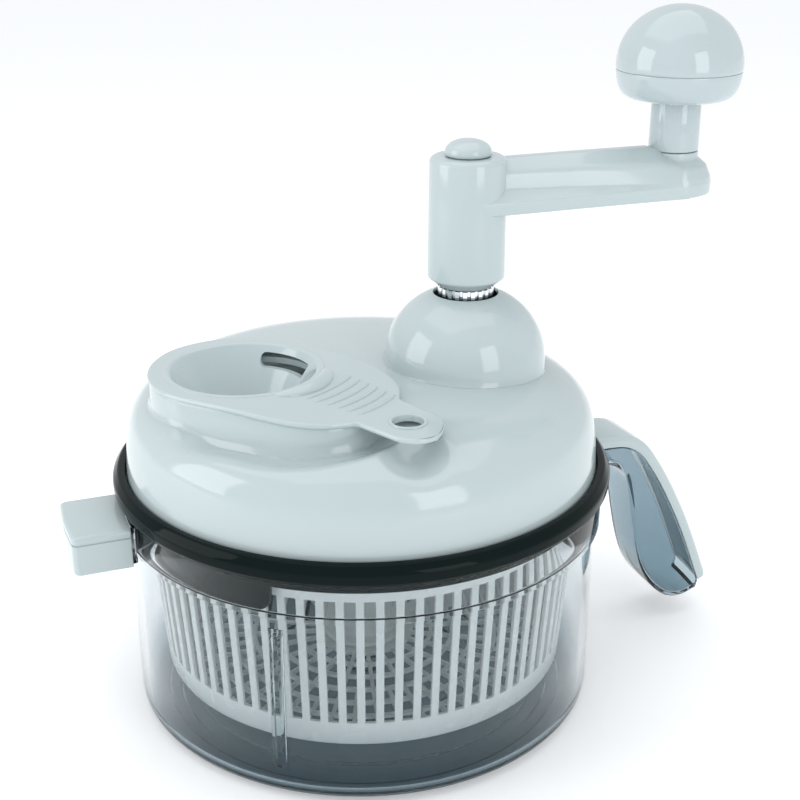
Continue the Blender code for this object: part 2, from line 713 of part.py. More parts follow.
def drive_shaft():
    bottom = TRAY_BOTTOM - 3.0
    return turned("drive_shaft", [(0.0, bottom), (SHAFT_RADIUS - 0.8, bottom), (SHAFT_RADIUS, bottom + 0.8),
                                  (SHAFT_RADIUS, 218.0), (0.0, 218.0)], sides=20, x=CRANK_X, y=CRANK_Y)


def shaft_clip():
    return turned("shaft_clip", [(SHAFT_RADIUS + GAP, 132.0), (9.0, 132.0), (9.0, 133.2),
                                 (SHAFT_RADIUS + GAP, 133.2)], sides=14, x=CRANK_X, y=CRANK_Y)


def shaft_collar():
    """Bright splined collar that shows between the dome and the crank's hub."""
    outline = []
    for k in range(COLLAR_SPLINES):
        middle = 360.0 * k / COLLAR_SPLINES
        pitch = 360.0 / COLLAR_SPLINES
        for share, radius in ((-0.26, SPLINE_RADIUS), (0.26, SPLINE_RADIUS),
                              (0.36, SPLINE_RADIUS - 0.9), (0.64, SPLINE_RADIUS - 0.9)):
            turn = math.radians(middle + share * pitch)
            outline.append((radius * math.cos(turn), radius * math.sin(turn)))
    body = prism("shaft_collar", outline, 153.6, HUB_BOTTOM - GAP, CRANK_X, CRANK_Y)
    return cut(body, cylinder("collar_bore", SHAFT_RADIUS + GAP, 140.0, 190.0, CRANK_X, CRANK_Y, sides=24))


def crank_arm():
    """Hub, arm with a creased side, and the round end that carries the knob."""
    x, y = CRANK_X, CRANK_Y
    hub = turned("crank_arm", [(0.0, HUB_BOTTOM), (HUB_RADIUS - 4.6, HUB_BOTTOM),
                               (HUB_RADIUS, HUB_BOTTOM + 3.6), (HUB_RADIUS - 0.4, HUB_TOP - 2.2),
                               (HUB_RADIUS - 1.4, HUB_TOP - 0.6), (HUB_RADIUS - 3.0, HUB_TOP),
                               (0.0, HUB_TOP)], sides=24, x=x, y=y)
    join(hub, arm_bar())
    end = turned("arm_end", [(0.0, ARM_BOTTOM - 0.4), (ARM_END_RADIUS - 2.6, ARM_BOTTOM - 0.4),
                             (ARM_END_RADIUS, ARM_BOTTOM + 0.6), (ARM_END_RADIUS, ARM_CREASE),
                             (ARM_END_RADIUS - 0.5, ARM_CREASE + 2.4), (ARM_END_RADIUS - 2.4, ARM_CREASE + 6.8),
                             (10.9, ARM_TOP - 5.0), (10.6, ARM_TOP - 4.4), (10.6, KNOB_SEAM), (0.0, KNOB_SEAM)],
                 sides=24, x=KNOB_X, y=y)
    join(hub, end)
    return cut(hub, cylinder("neck_room", 10.9, KNOB_SEAM, 240.0, KNOB_X, y, sides=20),
               cylinder("shaft_bore", SHAFT_RADIUS + GAP, 170.0, 218.0 + GAP, x, y, sides=24),
               cylinder("screw_bore", 2.0 + GAP, 210.0, 240.0, x, y),
               cylinder("head_recess", 8.0, SCREW_HEAD_HEIGHT, 240.0, x, y, sides=24),
               cylinder("pin_bore", KNOB_PIN_RADIUS + GAP, 210.0, 240.0, KNOB_X, y, sides=24))


def arm_bar():
    """The bar from hub to end: a wide base with a rounded back on it that widens towards the knob."""
    low, crease, top = ARM_BOTTOM, ARM_CREASE, ARM_TOP
    sections = (
        (0.0, ((15.5, low), (15.9, crease), (9.2, crease + 4.5), (8.6, top - 4.0), (4.6, top))),
        (0.45, ((15.7, low), (16.0, crease), (11.6, crease + 3.0), (10.4, top - 4.2), (5.4, top - 0.1))),
        (0.86, ((15.9, low), (16.2, crease), (15.4, crease + 1.9), (12.4, top - 5.2), (6.6, top - 0.4))),
        (1.0, ((15.9, low), (16.4, crease), (16.0, crease + 2.4), (14.0, crease + 6.8), (9.4, top - 4.6))))
    points = []
    for share, side in sections:
        row = side + tuple((-py, pz) for py, pz in side[::-1])
        points += [(CRANK_X + share * ARM_LENGTH, CRANK_Y + py, pz) for py, pz in row]
    count = 10
    last = (len(sections) - 1) * count
    faces = [list(range(count)), list(range(last, last + count))]
    for row in range(0, last, count):
        faces += [[row + k, row + (k + 1) % count, row + count + (k + 1) % count, row + count + k]
                  for k in range(count)]
    return new_object("arm", points, faces)


def crank_screw():
    """Screw down through the hub into the shaft, under the cap."""
    head = SCREW_HEAD_HEIGHT + GAP
    return turned("crank_screw", [(0.0, 218.6), (2.0, 218.6), (2.0, head), (4.6, head), (4.6, head + 1.7),
                                  (3.4, head + 2.9), (0.0, head + 2.9)], sides=12, x=CRANK_X, y=CRANK_Y)


def crank_cap():
    """The small domed plug that hides the crank's screw."""
    dome = [(9.5 * math.cos(math.radians(a)), HUB_TOP + 1.6 + 5.2 * math.sin(math.radians(a)))
            for a in (0, 30, 60, 90)]
    dome[-1] = (0.0, HUB_TOP + 6.8)
    profile = [(0.0, 228.4), (7.6, 228.4), (7.6, HUB_TOP + GAP), (9.5, HUB_TOP + GAP)] + dome
    return turned("crank_cap", profile, sides=SMALL_ROUND, x=CRANK_X, y=CRANK_Y)


def knob_pin():
    """The headed axle through the sleeve and the knob's foot into the arm."""
    radius = KNOB_PIN_RADIUS
    return turned("knob_pin", [(0.0, 210.4), (radius, 210.4), (radius, 257.0), (7.0, 257.0), (7.0, 259.0),
                               (5.4, 260.4), (0.0, 260.4)], sides=SMALL_ROUND, x=KNOB_X, y=CRANK_Y)


def knob_sleeve():
    """The neck between the arm's stub and the knob."""
    bore, outer = KNOB_PIN_RADIUS + 2.0 * GAP, KNOB_SLEEVE_RADIUS
    bottom, top = KNOB_SEAM + GAP, KNOB_UNDERSIDE - GAP
    return turned("knob_sleeve", [(bore, bottom), (outer, bottom), (outer, top), (bore, top)],
                  sides=24, x=KNOB_X, y=CRANK_Y)


def knob_base():
    """The knob's lower half, curling up to the seam, with a recess for the pin's head."""
    bore = KNOB_PIN_RADIUS + 2.0 * GAP
    return turned("knob_base", [(bore, KNOB_UNDERSIDE), (19.0, KNOB_UNDERSIDE), (21.6, KNOB_UNDERSIDE + 0.9),
                                (23.6, KNOB_UNDERSIDE + 2.7), (25.2, KNOB_UNDERSIDE + 5.6),
                                (26.1, KNOB_SPLIT - 0.4), (25.6, KNOB_SPLIT), (9.0, KNOB_SPLIT),
                                (9.0, KNOB_SPLIT - 3.8), (bore, KNOB_SPLIT - 3.8)],
                  sides=28, x=KNOB_X, y=CRANK_Y)


def knob_shell():
    """The knob's upper half, a hollow dome."""
    middle = KNOB_SPLIT + 2.4
    rise = KNOB_TOP - middle

    def line(inset):
        reach, lift = KNOB_RADIUS - inset, rise - inset
        return [(reach * math.cos(math.radians(a)), middle + lift * math.sin(math.radians(a)))
                for a in range(0, 90, 15)] + [(0.0, middle + lift)]
    bottom = KNOB_SPLIT + GAP
    profile = [(KNOB_RADIUS - 2.6, bottom), (KNOB_RADIUS - 0.5, bottom), (KNOB_RADIUS - 0.1, bottom + 0.5)]
    profile += line(0.0) + line(2.4)[::-1]
    return turned("knob_shell", profile, sides=28, x=KNOB_X, y=CRANK_Y)


# ---------------------------------------------------------------- funnel insert

def funnel_insert():
    """The plate with its cup, pour slot, finger tab, crescent lip and grip ridges."""
    places = stations(-BODY_RADIUS, TAB_CENTRE + TAB_RADIUS, 26)
    body = teardrop("funnel_insert", places, plate_width, plate_height,
                    lambda s: plate_height(s) - PLATE_THICKNESS)
    join(body, turned("cup", [(0.0, CUP_FLOOR), (CUP_FOOT, CUP_FLOOR), (CUP_FOOT + 2.4, CUP_FLOOR + 1.0),
                              (CUP_MOUTH, PLATE_TOP - 1.4), (CUP_MOUTH + 0.4, PLATE_TOP - 1.0),
                              (0.0, PLATE_TOP - 1.0)], sides=32, x=CUP_X, y=CUP_Y))
    join(body, crescent_lip())
    slot = [(0.0, 0.0)] + arc(40.0, 2.0, 60.0, 6)
    cut(body, turned("cup_room", [(0.0, CUP_FLOOR + 2.0), (CUP_FOOT - 1.4, CUP_FLOOR + 2.0),
                                  (CUP_FOOT + 0.4, CUP_FLOOR + 3.0), (CUP_MOUTH - 2.0, PLATE_TOP - 2.4),
                                  (CUP_MOUTH + 0.6, PLATE_TOP + 1.0), (0.0, PLATE_TOP + 1.0)],
                     sides=32, x=CUP_X, y=CUP_Y),
        prism("pour_slot", slot, 142.6, 147.4, CUP_X, CUP_Y),
        cylinder("tab_hole", TAB_HOLE, 130.0, 160.0, *tail_place(TAB_CENTRE - 2.0, 0.0)))
    for k in range(RIDGE_COUNT):
        join(body, grip_ridge(40.0 + RIDGE_PITCH * k, 15.5 - 0.56 * k))
    return body


def tail_place(along, across):
    """Plan position of a point along the tail and to its right."""
    turn = math.radians(TAIL_ANGLE)
    return (CUP_X + along * math.cos(turn) - across * math.sin(turn),
            CUP_Y + along * math.sin(turn) + across * math.cos(turn))


def grip_ridge(along, half_length):
    """A low bar across the tail, set a little to the right of its axis."""
    corners = [tail_place(along + end, 3.8 + side) for end, side in
               ((-0.7, -half_length), (-0.7, half_length), (0.7, half_length), (0.7, -half_length))]
    level = plate_height(along)
    return prism("ridge", corners, level - 1.2, level + 0.7)


def crescent_lip():
    """A raised crescent on the tail's side of the cup's mouth."""
    inner = CUP_MOUTH + 1.4
    middle = TAIL_ANGLE + 2.8
    outline = arc(inner, middle - 27.0, middle + 27.0, 8, 0.0, CUP_X, CUP_Y)
    for k in range(8, -1, -1):
        turn = math.radians(middle - 27.0 + 6.75 * k)
        reach = inner + 0.8 + 4.8 * math.sin(math.pi * k / 8.0)
        outline.append((CUP_X + reach * math.cos(turn), CUP_Y + reach * math.sin(turn)))
    return prism("crescent", outline, PLATE_TOP - 1.4, PLATE_TOP + 2.0)


# ---------------------------------------------------------------- basket

def basket_radius(height):
    """Outside of the tapered wall."""
    return BASKET_FOOT_RADIUS + BASKET_TAPER * (height - BASKET_BOTTOM)


def basket():
    """Slotted wall and flat floor as one moulding, drawn column by column."""
    pitch = 2.0 * math.pi / SLOT_COUNT
    angles = []
    for k in range(SLOT_COUNT):
        angles += [pitch * k, pitch * (k + SLOT_SHARE)]
    lip = basket_radius(BASKET_TOP) + 1.6
    profile = [(BASKET_FOOT_RADIUS, BASKET_BOTTOM)]
    profile += [(basket_radius(z), z) for z in (SLOT_BOTTOM, SLOT_TOP)]
    profile += [(lip, BASKET_TOP), (lip - BASKET_WALL - 1.2, BASKET_TOP)]
    profile += [(basket_radius(z) - BASKET_WALL, z) for z in (SLOT_TOP, SLOT_BOTTOM)]
    profile.append((basket_radius(BASKET_BOTTOM) - BASKET_WALL, BASKET_BOTTOM + 2.0))
    points = []
    for radius, height in profile:
        points += [(radius * math.cos(a), radius * math.sin(a), height) for a in angles]
    count = len(angles)
    low_out, top_out, top_in, low_in = 1, 2, 5, 6
    faces = []
    for row in range(len(profile) - 1):
        after = row + 1
        for k in range(count):
            if k % 2 == 0 and row in (low_out, top_in):
                continue
            right = (k + 1) % count
            faces.append([row * count + k, row * count + right, after * count + right, after * count + k])
    for k in range(0, count, 2):
        right = (k + 1) % count
        a, b = low_out * count, low_in * count
        c, d = top_out * count, top_in * count
        faces += [[a + k, a + right, b + right, b + k], [c + k, c + right, d + right, d + k],
                  [a + k, c + k, d + k, b + k], [a + right, c + right, d + right, b + right]]
    share = 4                                      # columns of the wall per side of the floor's hole
    coarse = count // share
    hole, hole_radius = len(points), COLUMN_RADIUS + GAP + 0.4
    for height in (BASKET_BOTTOM, BASKET_BOTTOM + 2.0):
        points += [(hole_radius * math.cos(a), hole_radius * math.sin(a), height) for a in angles[::share]]
    for floor, edge in ((hole, 0), (hole + coarse, (len(profile) - 1) * count)):
        for k in range(coarse):
            rim = [edge + (share * k + step) % count for step in range(share + 1)]
            faces.append([floor + k] + rim + [floor + (k + 1) % coarse])
    for k in range(coarse):
        right = (k + 1) % coarse
        faces.append([hole + k, hole + right, hole + coarse + right, hole + coarse + k])
    return new_object("basket", points, faces)


def basket_hub():
    """The tall column in the basket: it runs on the bowl's pin and is turned by the dog."""
    flange = BASKET_BOTTOM + 2.0 + GAP
    web = PIVOT_HEIGHT + 1.2
    post = 8.2
    profile = [(2.5, web), (post, web), (post, BASKET_BOTTOM - 6.0), (post + 1.8, BASKET_BOTTOM - 6.0),
               (post + 1.8, BASKET_BOTTOM - 1.0), (COLUMN_RADIUS, BASKET_BOTTOM - 1.0), (COLUMN_RADIUS, flange),
               (COLUMN_RADIUS + 5.0, flange), (COLUMN_RADIUS + 4.0, flange + 1.8), (COLUMN_RADIUS, flange + 2.4),
               (COLUMN_RADIUS - 0.9, COLUMN_TOP - 2.0), (COLUMN_RADIUS - 2.4, COLUMN_TOP),
               (5.5, COLUMN_TOP), (5.5, 92.0), (0.0, 92.0), (0.0, web + 7.0), (2.5, web + 6.0)]
    body = turned("basket_hub", profile, sides=24)
    for middle in (90.0, 270.0):
        outline = arc(6.0, middle - 22.0, middle + 22.0, 4) + arc(3.5, middle + 22.0, middle - 22.0, 4)
        join(body, prism("stop", outline, 91.5, COLUMN_TOP - 1.0))
    return body


# ---------------------------------------------------------------- assembly

def main():
    clear_scene()
    clear = plastic("clear_plastic", (0.80, 0.84, 0.88), 0.06, alpha=0.35)
    smoke = plastic("smoked_plastic", (0.02, 0.035, 0.035), 0.08, alpha=0.9)
    white = plastic("white_gloss", (0.83, 0.87, 0.87), 0.15)
    mesh_white = plastic("white_basket", (0.86, 0.88, 0.88), 0.3)
    nylon = plastic("gear_nylon", (0.75, 0.74, 0.68), 0.45)
    chrome = plastic("chrome", (0.85, 0.86, 0.87), 0.12, metallic=1.0)
    steel = plastic("steel", (0.55, 0.56, 0.57), 0.3, metallic=1.0)

    base = pivot("bowl_frame", 0.0, 0.0, 0.0)
    ring = pivot("ring_axis", 0.0, 0.0, BOWL_HEIGHT, base)
    lid = pivot("lid_axis", 0.0, 0.0, LID_SEAT, ring)
    crank = pivot("crank_axis", CRANK_X, CRANK_Y, HUB_BOTTOM, lid)
    knob = pivot("knob_axis", KNOB_X, CRANK_Y, KNOB_SEAM, crank)
    pinion = pivot("pinion_axis", 0.0, 0.0, GEAR_BOTTOM, lid)
    funnel = pivot("funnel_axis", CUP_X, CUP_Y, PLATE_TOP, lid)
    spin = pivot("basket_axis", 0.0, 0.0, BASKET_BOTTOM, base)

    crank_bush = sleeve("crank_bush", SHAFT_RADIUS + 0.4, 8.0, BOSS_BOTTOM - 1.7, BOSS_TOP + 1.0, 9.6,
                        CRANK_X, CRANK_Y)
    pinion_bush = sleeve("pinion_bush", 4.4, 6.0, TRAY_BOTTOM - 1.8, TRAY_BOTTOM + 3.0, 8.0)
    pieces = [
        (base, bowl(), clear), (base, pivot_pin(), steel), (base, handle_cover(), white),
        (base, lug_cover(), white), (ring, locking_ring(), smoke),
        (lid, lid_shell(), white), (lid, bearing_dome(), white), (lid, gearbox_cover(), nylon),
        (lid, crank_bush, steel), (lid, pinion_bush, nylon),
        (pinion, pinion_gear(), nylon),
        (crank, drive_gear(), nylon), (crank, drive_shaft(), steel), (crank, shaft_clip(), steel),
        (crank, shaft_collar(), chrome), (crank, crank_arm(), white), (crank, crank_screw(), steel),
        (crank, crank_cap(), white), (crank, knob_pin(), steel),
        (knob, knob_sleeve(), white), (knob, knob_base(), white), (knob, knob_shell(), white),
        (funnel, funnel_insert(), white),
        (spin, basket(), mesh_white), (spin, basket_hub(), mesh_white),
    ]
    for number, (px, py) in enumerate(screw_places(), start=1):
        pieces.append((lid, gearbox_screw(number, px, py), steel))
    for empty, thing, material in pieces:
        carry(finish(thing, material), empty)


main()
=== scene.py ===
# Hand-cranked salad spinner: the visible pieces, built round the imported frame.
# Sizes are in millimetres unless a name says otherwise; z is up and x points to the handle.

import math

import bmesh
import bpy
import numpy as np
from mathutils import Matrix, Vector


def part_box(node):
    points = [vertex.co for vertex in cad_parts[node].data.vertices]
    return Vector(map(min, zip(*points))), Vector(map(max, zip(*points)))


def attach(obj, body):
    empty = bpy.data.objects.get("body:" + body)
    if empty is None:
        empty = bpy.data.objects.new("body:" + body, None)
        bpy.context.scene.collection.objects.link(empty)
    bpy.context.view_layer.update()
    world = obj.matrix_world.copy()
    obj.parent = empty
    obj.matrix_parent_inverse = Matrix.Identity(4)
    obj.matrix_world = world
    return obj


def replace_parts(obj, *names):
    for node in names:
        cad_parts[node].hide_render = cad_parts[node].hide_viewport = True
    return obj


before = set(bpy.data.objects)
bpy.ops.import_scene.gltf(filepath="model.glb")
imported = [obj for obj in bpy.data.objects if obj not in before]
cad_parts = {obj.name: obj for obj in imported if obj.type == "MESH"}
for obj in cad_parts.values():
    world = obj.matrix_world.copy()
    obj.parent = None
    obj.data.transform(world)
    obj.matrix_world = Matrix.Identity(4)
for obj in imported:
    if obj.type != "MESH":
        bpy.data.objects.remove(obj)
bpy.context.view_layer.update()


mm = 0.001


def nodeMiddle(node):
    # middle of a CAD node's box, in millimetres
    low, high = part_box(node)
    return (np.array(low[:]) / mm + np.array(high[:]) / mm) / 2.0


crankX, crankY = nodeMiddle("crank_cap")[:2]
knobX, knobY = nodeMiddle("knob_shell")[:2]


def meshOf(name, points, faces):
    # mesh from millimetre points; doubles are merged, then every face is turned outwards
    mesh = bpy.data.meshes.new(name)
    mesh.from_pydata((np.asarray(points, float) * mm).tolist(), [], faces)
    work = bmesh.new()
    work.from_mesh(mesh)
    bmesh.ops.remove_doubles(work, verts=work.verts, dist=1e-6)
    bmesh.ops.dissolve_degenerate(work, edges=work.edges, dist=1e-7)
    bmesh.ops.recalc_face_normals(work, faces=work.faces)
    work.to_mesh(mesh)
    work.free()
    return mesh


def placed(name, mesh):
    thing = bpy.data.objects.new(name, mesh)
    bpy.context.scene.collection.objects.link(thing)
    return thing


def makePiece(name, points, faces, material, slot, body, sharp=40.0):
    # one mesh object at the origin, smooth except where faces meet at more than the sharp angle
    mesh = meshOf(name, points, faces)
    mesh.shade_smooth()
    mesh.set_sharp_from_angle(angle=math.radians(sharp))
    mesh.materials.append(material)
    piece = placed(name, mesh)
    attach(piece, body)
    return piece


def gridFaces(rows, columns, wrapRows, wrapColumns, first=0):
    # quads between neighbouring points of a rows by columns grid, as one array expression
    rowCount = rows if wrapRows else rows - 1
    columnCount = columns if wrapColumns else columns - 1
    i, j = np.meshgrid(np.arange(rowCount), np.arange(columnCount), indexing="ij")
    nextI, nextJ = (i + 1) % rows, (j + 1) % columns
    quads = np.stack([i * columns + j, i * columns + nextJ, nextI * columns + nextJ, nextI * columns + j], -1)
    return (quads.reshape(-1, 4) + first).tolist()


def gridShape(points, wrapRows, wrapColumns):
    # points and faces of a grid of shape (rows, columns, 3); open row ends get one flat cap each
    rows, columns = points.shape[:2]
    faces = gridFaces(rows, columns, wrapRows, wrapColumns)
    if not wrapRows and wrapColumns:
        faces.append(list(range(columns)))
        faces.append(list(range((rows - 1) * columns, rows * columns)))
    return points.reshape(-1, 3), faces


def joinShapes(*shapes):
    # several (points, faces) pairs as one
    points, faces, count = [], [], 0
    for shapePoints, shapeFaces in shapes:
        points.append(np.asarray(shapePoints, float))
        faces += [[k + count for k in face] for face in shapeFaces]
        count += len(shapePoints)
    return np.concatenate(points), faces


def roundCorners(corners, radii, steps=5):
    # a polygon whose corners are arcs: each corner's arc touches both sides at radius / tan(half angle)
    corners = np.asarray(corners, float)
    line = []
    count = len(corners)
    for k, here in enumerate(corners):
        radius = radii[k] if hasattr(radii, "__len__") else radii
        if radius <= 0.0:
            line.append(here)
            continue
        back, ahead = corners[k - 1] - here, corners[(k + 1) % count] - here
        backLength, aheadLength = np.linalg.norm(back), np.linalg.norm(ahead)
        back, ahead = back / backLength, ahead / aheadLength
        half = math.acos(np.clip(back @ ahead, -1.0, 1.0)) / 2.0
        t = np.linspace(0.0, 1.0, steps + 1)[:, None]
        if half > math.radians(88.5):                         # nearly straight: the same count along the side
            short = min(radius * 0.1, 0.3 * backLength, 0.3 * aheadLength)
            line += list(here + back * short * (1.0 - t) + ahead * short * t)
            continue
        reach = min(radius / math.tan(half), 0.48 * backLength, 0.48 * aheadLength)
        middle = here + (back + ahead) / np.linalg.norm(back + ahead) * (reach / math.cos(half))
        start, end = here + back * reach - middle, here + ahead * reach - middle
        sweep = math.pi - 2.0 * half
        line += list(middle + (np.sin((1.0 - t) * sweep) * start + np.sin(t * sweep) * end) / math.sin(sweep))
    return np.array(line)


def smoothLine(points, steps=8):
    # a Catmull-Rom curve: each span is a cubic in t whose ends lean along the neighbouring points
    p = np.asarray(points, float)
    p = np.concatenate([2 * p[:1] - p[1:2], p, 2 * p[-1:] - p[-2:-1]])
    t = (np.arange(steps) / steps)[None, :, None]
    a, b, c, d = p[:-3, None], p[1:-2, None], p[2:-1, None], p[3:, None]
    curve = 2 * b + (c - a) * t + (2 * a - 5 * b + 4 * c - d) * t ** 2 + (3 * b - a - 3 * c + d) * t ** 3
    curve *= 0.5
    return np.concatenate([curve.reshape(-1, p.shape[1]), p[-2:-1]])


def evenLine(line, count):
    # the same line with count points an equal distance apart
    length = np.concatenate([[0.0], np.cumsum(np.linalg.norm(np.diff(line, axis=0), axis=1))])
    places = np.linspace(0.0, length[-1], count)
    return np.stack([np.interp(places, length, line[:, k]) for k in range(line.shape[1])], -1)


def sideways(line, distance):
    # the line moved to its left by distance, along the normal of its local direction
    ahead = np.gradient(line, axis=0)
    ahead /= np.linalg.norm(ahead, axis=1)[:, None]
    return line + distance * np.stack([-ahead[:, 1], ahead[:, 0]], -1)


def turned(profile, sides=192, x=0.0, y=0.0):
    # a closed (radius, height) profile turned about an upright axis: x = r cos a, y = r sin a
    profile = np.asarray(profile, float)
    a = np.arange(sides) * 2.0 * math.pi / sides
    r, z = profile[:, 0][:, None], profile[:, 1][:, None]
    points = np.stack([x + r * np.cos(a), y + r * np.sin(a), z + 0.0 * a], -1)
    return gridShape(points, True, True)


def applyCut(piece, points, faces, sharp=40.0):
    # cut a closed shape out of a piece with an exact Boolean, then keep the result as its mesh
    cutter = placed("cutter", meshOf("cutter", points, faces))
    modifier = piece.modifiers.new("cut", "BOOLEAN")
    modifier.operation, modifier.object = "DIFFERENCE", cutter
    graph = bpy.context.evaluated_depsgraph_get()
    result = bpy.data.meshes.new_from_object(piece.evaluated_get(graph))
    piece.modifiers.clear()
    piece.data = result
    bpy.data.objects.remove(cutter, do_unlink=True)
    result.shade_smooth()
    result.set_sharp_from_angle(angle=math.radians(sharp))


def drawnUp(outline, bottom, top):
    # an outline in x and y drawn straight up
    outline = np.asarray(outline, float)
    levels = np.array([bottom, top], float)
    points = np.concatenate([np.column_stack([outline, np.full(len(outline), level)]) for level in levels])
    return gridShape(points.reshape(2, len(outline), 3), False, True)


def circle(radius, x=0.0, y=0.0, sides=48):
    # points at even angles: x + r cos a, y + r sin a
    a = np.arange(sides) * 2.0 * math.pi / sides
    return np.stack([x + radius * np.cos(a), y + radius * np.sin(a)], -1)


def newMaterial(name):
    material = bpy.data.materials.new(name)
    material.use_nodes = True
    return material, material.node_tree, material.node_tree.nodes["Principled BSDF"]


def mouldedSurface():
    # shared effect: faint uneven tone, gloss variation, fine handling marks and a slow mould ripple
    group = bpy.data.node_groups.new("mouldedSurface", "ShaderNodeTree")
    face = group.interface
    face.new_socket("Colour", in_out="INPUT", socket_type="NodeSocketColor")
    face.new_socket("Shade", in_out="INPUT", socket_type="NodeSocketColor")
    face.new_socket("Gloss", in_out="INPUT", socket_type="NodeSocketFloat")
    face.new_socket("Wear", in_out="INPUT", socket_type="NodeSocketFloat")
    face.new_socket("Ripple size", in_out="INPUT", socket_type="NodeSocketFloat")
    face.new_socket("Colour", in_out="OUTPUT", socket_type="NodeSocketColor")
    face.new_socket("Roughness", in_out="OUTPUT", socket_type="NodeSocketFloat")
    face.new_socket("Height", in_out="OUTPUT", socket_type="NodeSocketFloat")
    nodes, links = group.nodes, group.links
    inside, outside = nodes.new("NodeGroupInput"), nodes.new("NodeGroupOutput")
    place = nodes.new("ShaderNodeTexCoord")
    tone = nodes.new("ShaderNodeTexNoise")
    tone.inputs["Scale"].default_value = 14.0
    tone.inputs["Detail"].default_value = 3.0
    links.new(place.outputs["Object"], tone.inputs["Vector"])
    toneRange = nodes.new("ShaderNodeMapRange")
    toneRange.inputs["From Min"].default_value, toneRange.inputs["From Max"].default_value = 0.35, 0.75
    toneRange.inputs["To Max"].default_value = 0.35
    links.new(tone.outputs["Fac"], toneRange.inputs["Value"])
    mixTone = nodes.new("ShaderNodeMix")
    mixTone.data_type = "RGBA"
    links.new(toneRange.outputs["Result"], mixTone.inputs[0])
    links.new(inside.outputs["Colour"], mixTone.inputs[6])
    links.new(inside.outputs["Shade"], mixTone.inputs[7])
    links.new(mixTone.outputs[2], outside.inputs["Colour"])
    marks = nodes.new("ShaderNodeTexNoise")           # rubbed streaks
    marks.inputs["Scale"].default_value = 90.0
    marks.inputs["Detail"].default_value = 6.0
    marks.inputs["Distortion"].default_value = 0.6
    links.new(place.outputs["Object"], marks.inputs["Vector"])
    marksRange = nodes.new("ShaderNodeMapRange")
    marksRange.inputs["From Min"].default_value, marksRange.inputs["From Max"].default_value = 0.5, 0.8
    links.new(marks.outputs["Fac"], marksRange.inputs["Value"])
    scaleMarks = nodes.new("ShaderNodeMath")
    scaleMarks.operation = "MULTIPLY"
    links.new(marksRange.outputs["Result"], scaleMarks.inputs[0])
    links.new(inside.outputs["Wear"], scaleMarks.inputs[1])
    addGloss = nodes.new("ShaderNodeMath")
    addGloss.operation = "ADD"
    links.new(scaleMarks.outputs[0], addGloss.inputs[0])
    links.new(inside.outputs["Gloss"], addGloss.inputs[1])
    links.new(addGloss.outputs[0], outside.inputs["Roughness"])
    ripple = nodes.new("ShaderNodeTexNoise")
    ripple.inputs["Detail"].default_value = 1.0
    links.new(place.outputs["Object"], ripple.inputs["Vector"])
    links.new(inside.outputs["Ripple size"], ripple.inputs["Scale"])
    links.new(ripple.outputs["Fac"], outside.inputs["Height"])
    return group


surfaceGroup = mouldedSurface()


def surfaceNode(tree, colour, shade, gloss, wear, ripple):
    # the shared moulded surface, placed in one material with its own values
    surface = tree.nodes.new("ShaderNodeGroup")
    surface.node_tree = surfaceGroup
    surface.inputs["Colour"].default_value = (*colour, 1.0)
    surface.inputs["Shade"].default_value = (*shade, 1.0)
    surface.inputs["Gloss"].default_value = gloss
    surface.inputs["Wear"].default_value = wear
    surface.inputs["Ripple size"].default_value = ripple
    return surface


def addGlossAndRelief(tree, shader, surface, bump):
    relief = tree.nodes.new("ShaderNodeBump")
    relief.inputs["Strength"].default_value = bump
    relief.inputs["Distance"].default_value = 0.001
    tree.links.new(surface.outputs["Roughness"], shader.inputs["Roughness"])
    tree.links.new(surface.outputs["Height"], relief.inputs["Height"])
    tree.links.new(relief.outputs["Normal"], shader.inputs["Normal"])


def mouldedPlastic(name, colour, shade, gloss, wear, ripple=60.0, bump=0.02, coat=0.0, metallic=0.0,
                   shine=0.5):
    # a plastic or metal finish fed by the shared moulded surface
    material, tree, shader = newMaterial(name)
    surface = surfaceNode(tree, colour, shade, gloss, wear, ripple)
    tree.links.new(surface.outputs["Colour"], shader.inputs["Base Color"])
    addGlossAndRelief(tree, shader, surface, bump)
    shader.inputs["Metallic"].default_value = metallic
    shader.inputs["IOR"].default_value = 1.5
    shader.inputs["Coat Weight"].default_value = coat
    shader.inputs["Coat Roughness"].default_value = 0.03
    shader.inputs["Specular IOR Level"].default_value = shine
    return material


def clearPlastic(name, top, foot, height):
    # clear tinted plastic; the base colour runs from the foot's colour to the top's colour over a height, and
    # the bowl's dark foot colour is painted shade low down
    material, tree, shader = newMaterial(name)
    surface = surfaceNode(tree, top, top, 0.015, 0.02, 30.0)
    place = tree.nodes.new("ShaderNodeTexCoord")
    split = tree.nodes.new("ShaderNodeSeparateXYZ")
    level = tree.nodes.new("ShaderNodeMapRange")
    level.inputs["From Min"].default_value, level.inputs["From Max"].default_value = 0.0, height * mm
    mix = tree.nodes.new("ShaderNodeMix")
    mix.data_type = "RGBA"
    # painted shade: the foot's colour, darkest for the bowl, is mixed in towards the bottom
    mix.inputs[6].default_value = (*foot, 1.0)
    tree.links.new(place.outputs["Object"], split.inputs[0])
    tree.links.new(split.outputs["Z"], level.inputs["Value"])
    tree.links.new(level.outputs["Result"], mix.inputs[0])
    tree.links.new(surface.outputs["Colour"], mix.inputs[7])
    tree.links.new(mix.outputs[2], shader.inputs["Base Color"])
    addGlossAndRelief(tree, shader, surface, 0.015)
    shader.inputs["Transmission Weight"].default_value = 1.0
    shader.inputs["IOR"].default_value = 1.42
    shader.inputs["Specular IOR Level"].default_value = 0.22          # mild, so dark parts stay dark
    shader.inputs["Specular Tint"].default_value = (0.30, 0.34, 0.34, 1.0)
    return material


